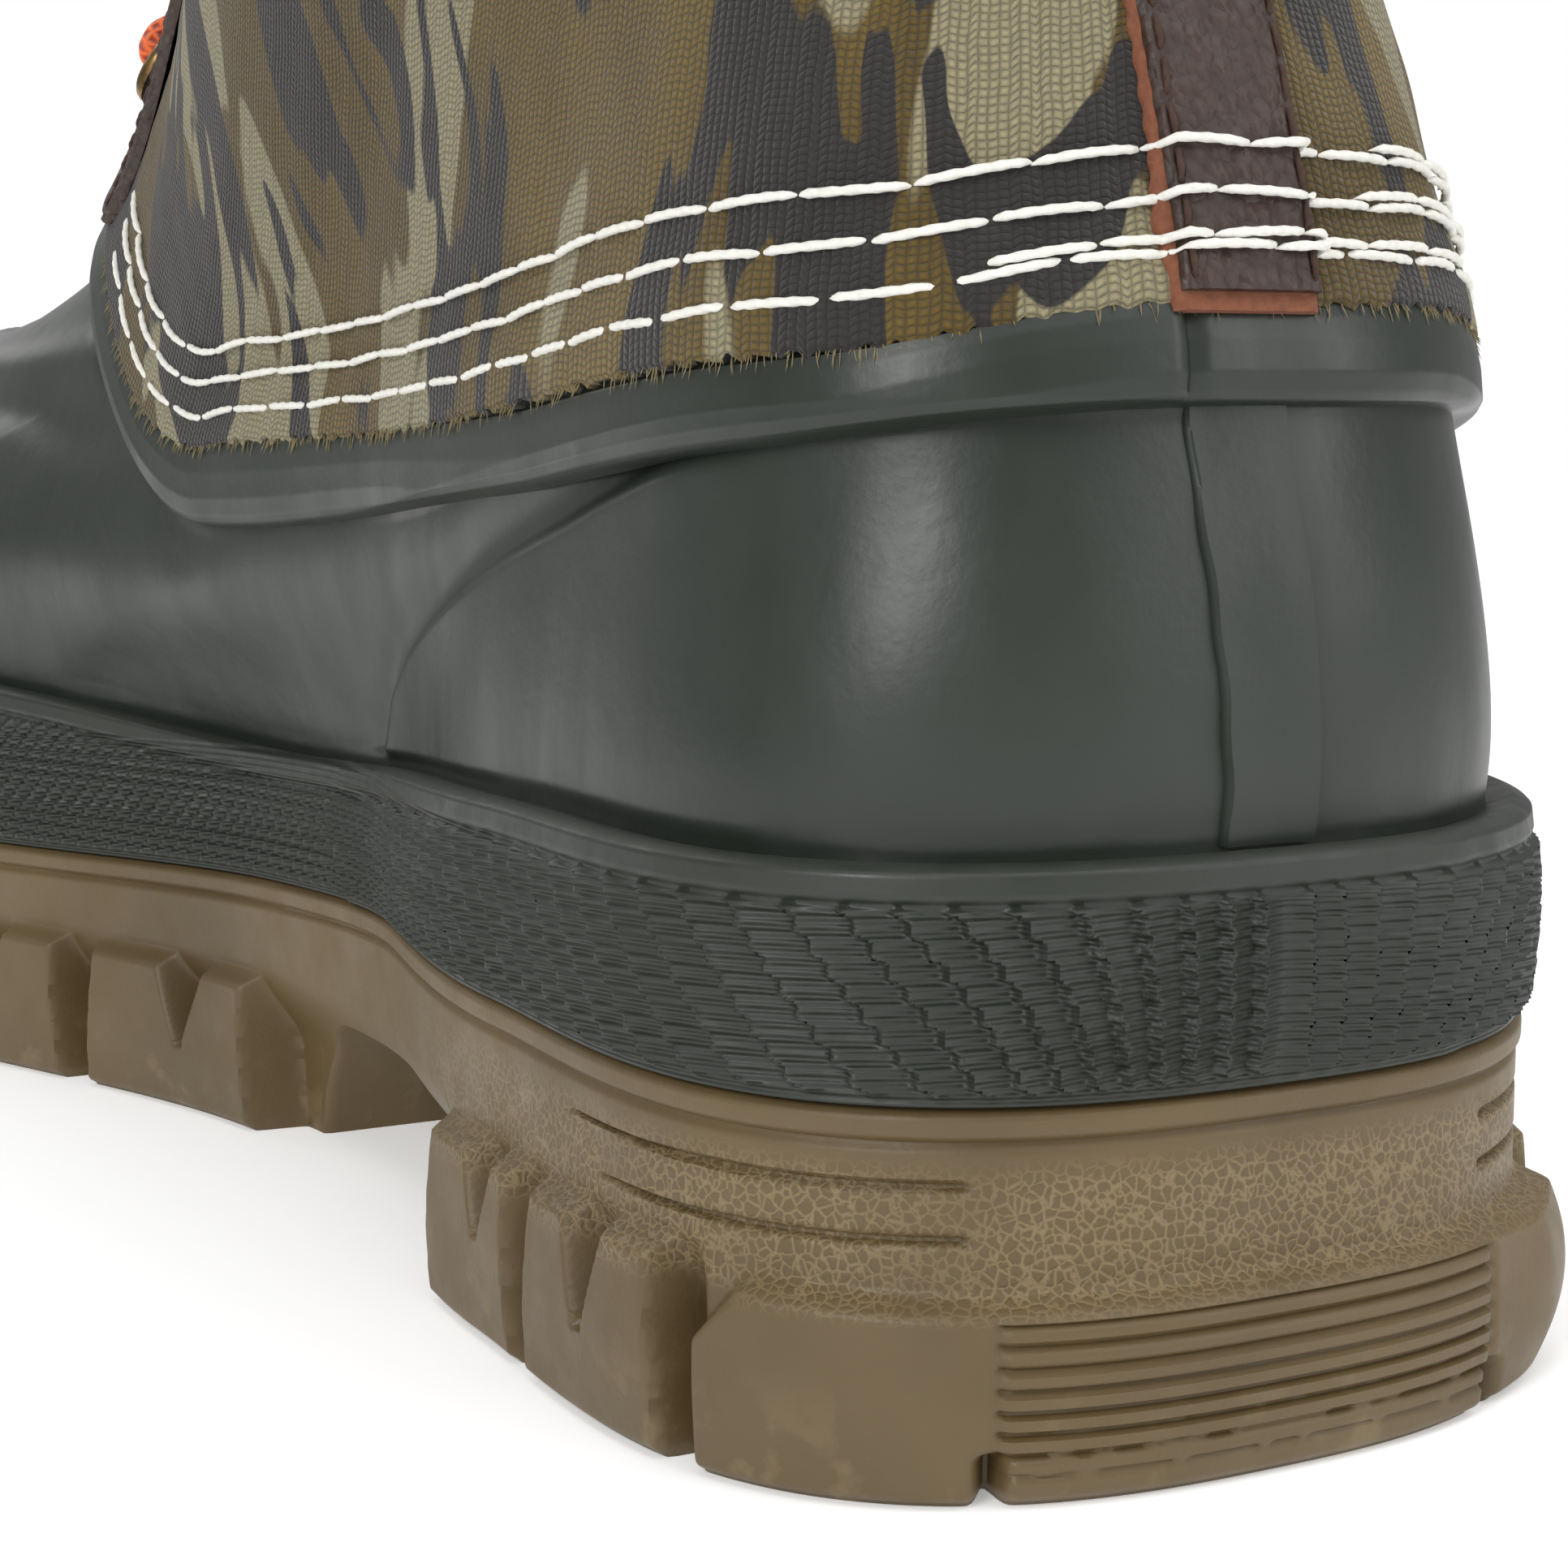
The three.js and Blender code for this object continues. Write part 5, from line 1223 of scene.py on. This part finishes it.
def collar():
    """The padded roll round the top, puffed between its quilting."""
    lateral, medial = [float(arc_u(CANVAS_TOP, THROAT_HALF, side)) for side in (-1, 1)]
    lateral = lateral - 1 if lateral > 0 else lateral
    u = np.linspace(lateral, medial, 420)[:, None]
    t = np.linspace(0, 1, 420)[:, None]
    up = np.linspace(0, 1, 34)[None]
    lift = 0.5 + 10.4 * (1 - np.cos(up * math.pi)) / 2
    swell = np.sin(up * math.pi) ** 0.62
    puff = 1 + 0.06 * np.sin(t * 2 * math.pi * 22) * swell
    roll = 5.5 * swell * puff * rounded_edge(t, 0.018)
    seam = 0.8 * bell(up - 0.16, 0.035)
    outer = layer_at(u, CANVAS_TOP, 2.05 - roll + seam)
    inner = layer_at(u, CANVAS_TOP, 2.05 + roll)
    for grid in (outer, inner):
        grid[..., 2] += lift
    piece = slab("collar_roll", outer, inner, LEATHER, angle=80)
    place(piece, "brown_leather", "collar")


def pull_loop():
    """Webbing in a flat loop, laid inside the box of the CAD's loop."""
    low, high = [np.array(corner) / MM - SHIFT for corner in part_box("pull_loop")]
    wall, radius = 2.2, (high[1] - low[1]) / 2
    turn = np.linspace(0, 2 * math.pi, 96, endpoint=False)
    straight = np.where(np.sin(turn) > 0, high[2] - radius, low[2] + radius)
    across = np.linspace(0, 1, 30)[None]
    x = mix(low[0] + 0.1, high[0] - 0.1, across)
    half_wall = (wall / 2 - 0.05) * (0.45 + 0.55 * rounded_edge(across, 0.07))

    def band(size):
        y = (low[1] + high[1]) / 2 + size * np.cos(turn)[:, None]
        z = straight[:, None] + size * np.sin(turn)[:, None]
        return np.stack(np.broadcast_arrays(x, y, z), -1)
    middle = radius - wall / 2
    faces = band(middle + half_wall), band(middle - half_wall)
    piece = slab("pull_loop_webbing", *faces, WEBBING, closed=True)
    place(piece, "webbing", "pull_loop", body="pull_loop")
# ---- Eyelets, hooks and lace ----

LACE_RADIUS = 1.6
LACE_SEAT = -4.6
LACE_EDGE = LACE_SEAT - LACE_RADIUS - GAP
LACE_LOW = -3.2
LACE_HIGH = -6.7
ROW_ARC = THROAT_HALF + 7.5
LAST_ROW = 5
EYELET_ROWS = 4
EYELET_PROFILE = ((2.5, 0.05), (2.45, 0.9), (2.7, 1.3), (3.2, 1.42), (3.8, 1.25), (4.35, 0.8), (4.55, 0.3),
                  (4.5, 0.05))


def row_v(row):
    return mix(1.36, 2.86, row / LAST_ROW)


def facing_frame(row, side):
    """Origin and axes of a fitting: away from the throat, up, and out of the leather."""
    v = row_v(row)
    origin = arc_point(v, side * ROW_ARC, LACE_SEAT)
    outwards = arc_point(v, side * ROW_ARC, LACE_SEAT - 1) - origin
    outwards /= np.linalg.norm(outwards)
    away = arc_point(v, side * (ROW_ARC + 2), 0) - arc_point(v, side * ROW_ARC, 0)
    away -= outwards * (away @ outwards)
    away /= np.linalg.norm(away)
    return origin, away, np.cross(outwards, away), outwards


def eyelet(row, side, word):
    """A brass ring turned from its profile of radii and heights, flat underneath."""
    origin, away, up, outwards = facing_frame(row, side)
    radius, height = np.array(EYELET_PROFILE).T[:, None]
    turn = np.linspace(0, 2 * math.pi, 40, endpoint=False)[:, None]
    circle = away * (radius * np.cos(turn))[..., None] + up * (radius * np.sin(turn))[..., None]
    levels = height + 0 * turn, 0.03 + 0 * height + 0 * turn
    face, base = [origin + circle + outwards * level[..., None] for level in levels]
    piece = slab(f"ring_{word}_{row + 1}", face, base, BRASS, closed=True, angle=60, turned=True)
    place(piece, "antique_brass", f"eyelet_{word}_{row + 1}")


def curve_through(points, step=0.5):
    """A smooth line through points, which doesn't loop where they crowd, with its ends left straight."""
    points = np.array(points, float)
    points = np.concatenate([[2 * points[0] - points[1]], points, [2 * points[-1] - points[-2]]])
    gaps = np.linalg.norm(np.diff(points, axis=0), axis=1) ** 0.5
    result = []
    for k in range(1, len(points) - 2):
        p0, p1, p2, p3 = points[k - 1:k + 3]
        d1 = (p1 - p0) / gaps[k - 1] - (p2 - p0) / (gaps[k - 1] + gaps[k]) + (p2 - p1) / gaps[k]
        d2 = (p2 - p1) / gaps[k] - (p3 - p1) / (gaps[k] + gaps[k + 1]) + (p3 - p2) / gaps[k + 1]
        count = max(2, int(np.linalg.norm(p2 - p1) / step))
        t = np.linspace(0, 1, count, endpoint=False)[:, None]
        span = gaps[k]
        result.append((2 * t ** 3 - 3 * t ** 2 + 1) * p1 + (t ** 3 - 2 * t ** 2 + t) * d1 * span
                      + (-2 * t ** 3 + 3 * t ** 2) * p2 + (t ** 3 - t ** 2) * d2 * span)
    result.append(points[-2][None])
    return np.concatenate(result)


def lace_point(row, arc, depth):
    return arc_point(row_v(row), arc, depth)


def hook_point(row, side, x, y, z):
    origin, away, up, outwards = facing_frame(row, side)
    return origin + away * x + up * y * side + outwards * z


def from_eyelet(row, side):
    return [lace_point(row, side * ROW_ARC, LACE_SEAT - GAP),
            lace_point(row + 0.01, side * (ROW_ARC - 0.2), LACE_SEAT - 2),
            lace_point(row + 0.08, side * (ROW_ARC - 3.2), LACE_EDGE - 1.6)]


def hook_turn(row, side, way):
    """Three points round a hook's neck; way is 1 when the lace leaves upwards, else -1."""
    return [hook_point(row, side, x, y * way, 3.4) for x, y in ((-1.2, 0.2), (-1.6, 3.4), (-5.5, 5.6))]


def lace_run(row, side):
    """One crossing: from an eyelet or a hook, over the tongue, to the next row on the other side."""
    middle = LACE_HIGH if side > 0 else LACE_LOW
    start = from_eyelet(row, side) if row < EYELET_ROWS else hook_turn(row, side, 1)
    crossing = [lace_point(row + 0.24, side * 13, LACE_EDGE), lace_point(row + 0.4, side * 5, middle),
                lace_point(row + 0.5, 0.001, middle), lace_point(row + 0.6, -side * 5, middle)]
    under = [lace_point(row + 0.8, -side * 9.5, LACE_LOW - 0.2),
             lace_point(row + 0.94, -side * 12.2, LACE_LOW + 1),
             lace_point(row + 1, -side * 12.7, LACE_LOW + 3)]
    over = [lace_point(row + 0.76, -side * 13, LACE_EDGE)] + hook_turn(row + 1, -side, -1)[::-1]
    return start + crossing + (under if row + 1 < EYELET_ROWS else over)


def knot_point(x, lift, z):
    return arc_point(2.97, 0.001, -7) + np.array([x, lift, z]) * (1, -1, 1)


def lace():
    for side, word in SIDES:
        for row in range(LAST_ROW):
            held_lace(f"lace_cross_{word}_{row + 1}", lace_run(row, side), f"lace_run_{word}_{row + 1}")
        top = hook_turn(LAST_ROW, side, 1) + [arc_point(2.98, side * 14, LACE_EDGE - 1),
                                              knot_point(side * 7.3, 0, 0)]
        held_lace(f"lace_cross_{word}_top", top, f"lace_run_{word}_top")
    arcs, rises = (-12.7, -12.2, -9.5, 0.001, 9.5, 12.2, 12.7), (3, 1, -0.2, 0, -0.2, 1, 3)
    held_lace("lace_bottom_bar", [lace_point(0, a, LACE_LOW + r) for a, r in zip(arcs, rises)], "lace_bar")
    # The knot is the lace wound round itself.
    t = np.linspace(0, 1, 120)
    wind = 2 * math.pi * 2.6 * t
    coil = np.stack([-4.6 + 9.2 * t, 2.75 * np.cos(wind), 2.75 * np.sin(wind)], -1) + knot_point(0, 0, 0)
    place(joined("knot_wraps", [tube(coil, LACE_RADIUS, 12)], LACE), "orange_lace", "lace_knot")
    for side, word in SIDES:
        loop = [knot_point(side * 5.4, 4.6, 1), arc_point(2.98, side * 14, -15),
                arc_point(2.9, side * 30, -16), arc_point(2.68, side * 41, -13),
                arc_point(2.42, side * 42, -10), arc_point(2.3, side * 33, -12),
                arc_point(2.42, side * 23, -16), arc_point(2.68, side * 12.5, -16.5),
                knot_point(side * 4.6, 6.4, -4.6)]
        free_lace(f"bow_loop_{word}", loop, f"lace_loop_{word}", "object")
        tail = [knot_point(side * 2.4, 2.3, -4.9), arc_point(2.72, side * 5, -11.4),
                arc_point(2.45, side * 8, -11.6),
                arc_point(2.15, side * 13, -11.8), arc_point(1.9, side * 18, -12)]
        along = tail[-1] - tail[-2]
        along /= np.linalg.norm(along)
        sheath = np.linspace(0, 1, 24)[:, None] * along * 18 + tail[-1] + along * GAP
        tip = joined(f"lace_tip_{word}", [tube(sheath, LACE_RADIUS * 0.9, 16)], PLASTIC)
        place(tip, "clear_plastic", f"aglet_{word}")
        free_lace(f"bow_tail_{word}", tail, f"lace_tail_{word}", "fitting", tip)


def held_lace(name, points, node):
    place(joined(name, [tube(curve_through(points), LACE_RADIUS, 12)], LACE), "orange_lace", node)


def free_lace(name, points, node, far_end, *on_it):
    """A length of lace that hangs free, built along its route; the far end and what is on it are not used."""
    line = curve_through(points)
    piece = joined(name, [tube(line, LACE_RADIUS, 12)], LACE)
    place(piece, "orange_lace", node)


# ---- Camera, floor and light ----

def add(name, data, where=(0, 0, 0), turn=(0, 0, 0)):
    thing = bpy.data.objects.new(name, data)
    thing.location = where
    thing.rotation_euler = turn
    bpy.context.scene.collection.objects.link(thing)
    return thing


def stage():
    camera = add("camera", bpy.data.cameras.new("camera"), (0.1187, 0.3098, 0.0736),
                 (math.radians(82.6), 0, math.radians(151.8)))
    camera.data.lens = 68.6
    camera.data.clip_end = 20
    bpy.context.scene.camera = camera

    bpy.ops.mesh.primitive_plane_add(size=8)
    floor = bpy.context.object
    floor.name = "floor"
    paper = Finish("paper", 0.9)
    paper.colour(paper.mix(paper.noise(300, 2), (0.86, 0.86, 0.86), (0.9, 0.9, 0.9)))
    paper.shader.inputs["Emission Color"].default_value = (1, 1, 1, 1)
    paper.shader.inputs["Emission Strength"].default_value = 0.3
    floor.data.materials.append(paper.material)

    bpy.context.scene.view_settings.view_transform = "Standard"
    world = bpy.data.worlds.new("studio")
    bpy.context.scene.world = world
    world.use_nodes = True
    tree = world.node_tree
    # The room lights the boot softly, and the camera sees it white.
    around = tree.nodes["Background"]
    behind = tree.nodes.new("ShaderNodeBackground")
    both = tree.nodes.new("ShaderNodeMixShader")
    seen = tree.nodes.new("ShaderNodeLightPath").outputs["Is Camera Ray"]
    for shade, strength in ((around, 0.38), (behind, 1.0)):
        shade.inputs["Color"].default_value = (1, 1, 1, 1)
        shade.inputs["Strength"].default_value = strength
    for output, place in zip((seen, around.outputs[0], behind.outputs[0]), both.inputs):
        tree.links.new(output, place)
    tree.links.new(both.outputs[0], tree.nodes["World Output"].inputs[0])
    aim = Vector((0, 0, 0.07))
    for name, where, power, size in (("key", (1.0, 0.75, 0.75), 9.0, 0.55),
                                     ("side", (-0.8, 1.0, 0.5), 3.0, 0.6),
                                     ("back", (0.1, -1.2, 1.0), 5.0, 1.0)):
        light = add(name, bpy.data.lights.new(name, "AREA"), where,
                    (aim - Vector(where)).to_track_quat("-Z", "Y").to_euler())
        light.data.energy = power
        light.data.size = size
    sky = add("overhead", bpy.data.lights.new("overhead", "SUN"),
              turn=(math.radians(-14), math.radians(-12), 0))
    sky.data.energy = 1.5
    sky.data.angle = math.radians(70)

RUBBER = green_rubber()
FOXING = foxing_rubber()
GUM = gum_rubber()
CANVAS = camo_canvas()
LEATHER = brown_leather()
SUEDE = nap("raw_suede", (96, 56, 40), (140, 90, 66), 0.7, 0.2)
WHITE = thread("white_thread", (205, 203, 192), (245, 244, 238))
BROWN_THREAD = thread("brown_thread", (40, 26, 20), (80, 58, 46))
FUZZ = thread("canvas_fuzz", (90, 78, 50), (150, 138, 104))
FLEECE = nap("fleece_lining", (96, 84, 64), (158, 143, 114), 2.4, 0.9, 0.5, 0.2, 0.8, Sheen_Weight=0.4)
WEBBING = webbing()
BRASS = brass()
LACE = lace_cord()
PLASTIC = plastic()
FOOTBED = fabric("footbed_foam", (40, 43, 38), (72, 76, 68), 2.0)

stage()
lace()
outsole()
foxing()
rubber_shell()
rim()
heel_stay()
for side, word in SIDES:
    quarter(side, word)
    eyestay(side, word)
    lining(side, word)
    gusset(side, word)
    throat_binding(side, word)
    for row in range(EYELET_ROWS):
        eyelet(row, side, word)
throat_leather()
tongue()
lining_foot()
footbed()
collar()
back_strap()
foot_stitches()
fuzz()
pull_loop()

# The pieces inside keep their CAD shapes, and so do the hooks, with their edges eased.
INNER = {"shank": BRASS, "midsole": fabric("midsole_foam", (170, 166, 156), (196, 192, 182), 3.0),
         "insole_board": fabric("fibre_board", (150, 128, 96), (186, 164, 128), 1.5),
         "insulation": fabric("insulation_foam", (196, 190, 176), (224, 219, 206), 2.5)}
INNER["heel_counter"] = INNER["insole_board"]
for name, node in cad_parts.items():
    material = next((INNER[key] for key in INNER if name.startswith(key)), None)
    material = BRASS if name.startswith("hook") else material
    if material:
        node.data.materials.clear()
        node.data.materials.append(material)
    if name.startswith("hook"):
        bevel = node.modifiers.new("bevel", "BEVEL")
        bevel.width = 0.00035
        bevel.segments = 3
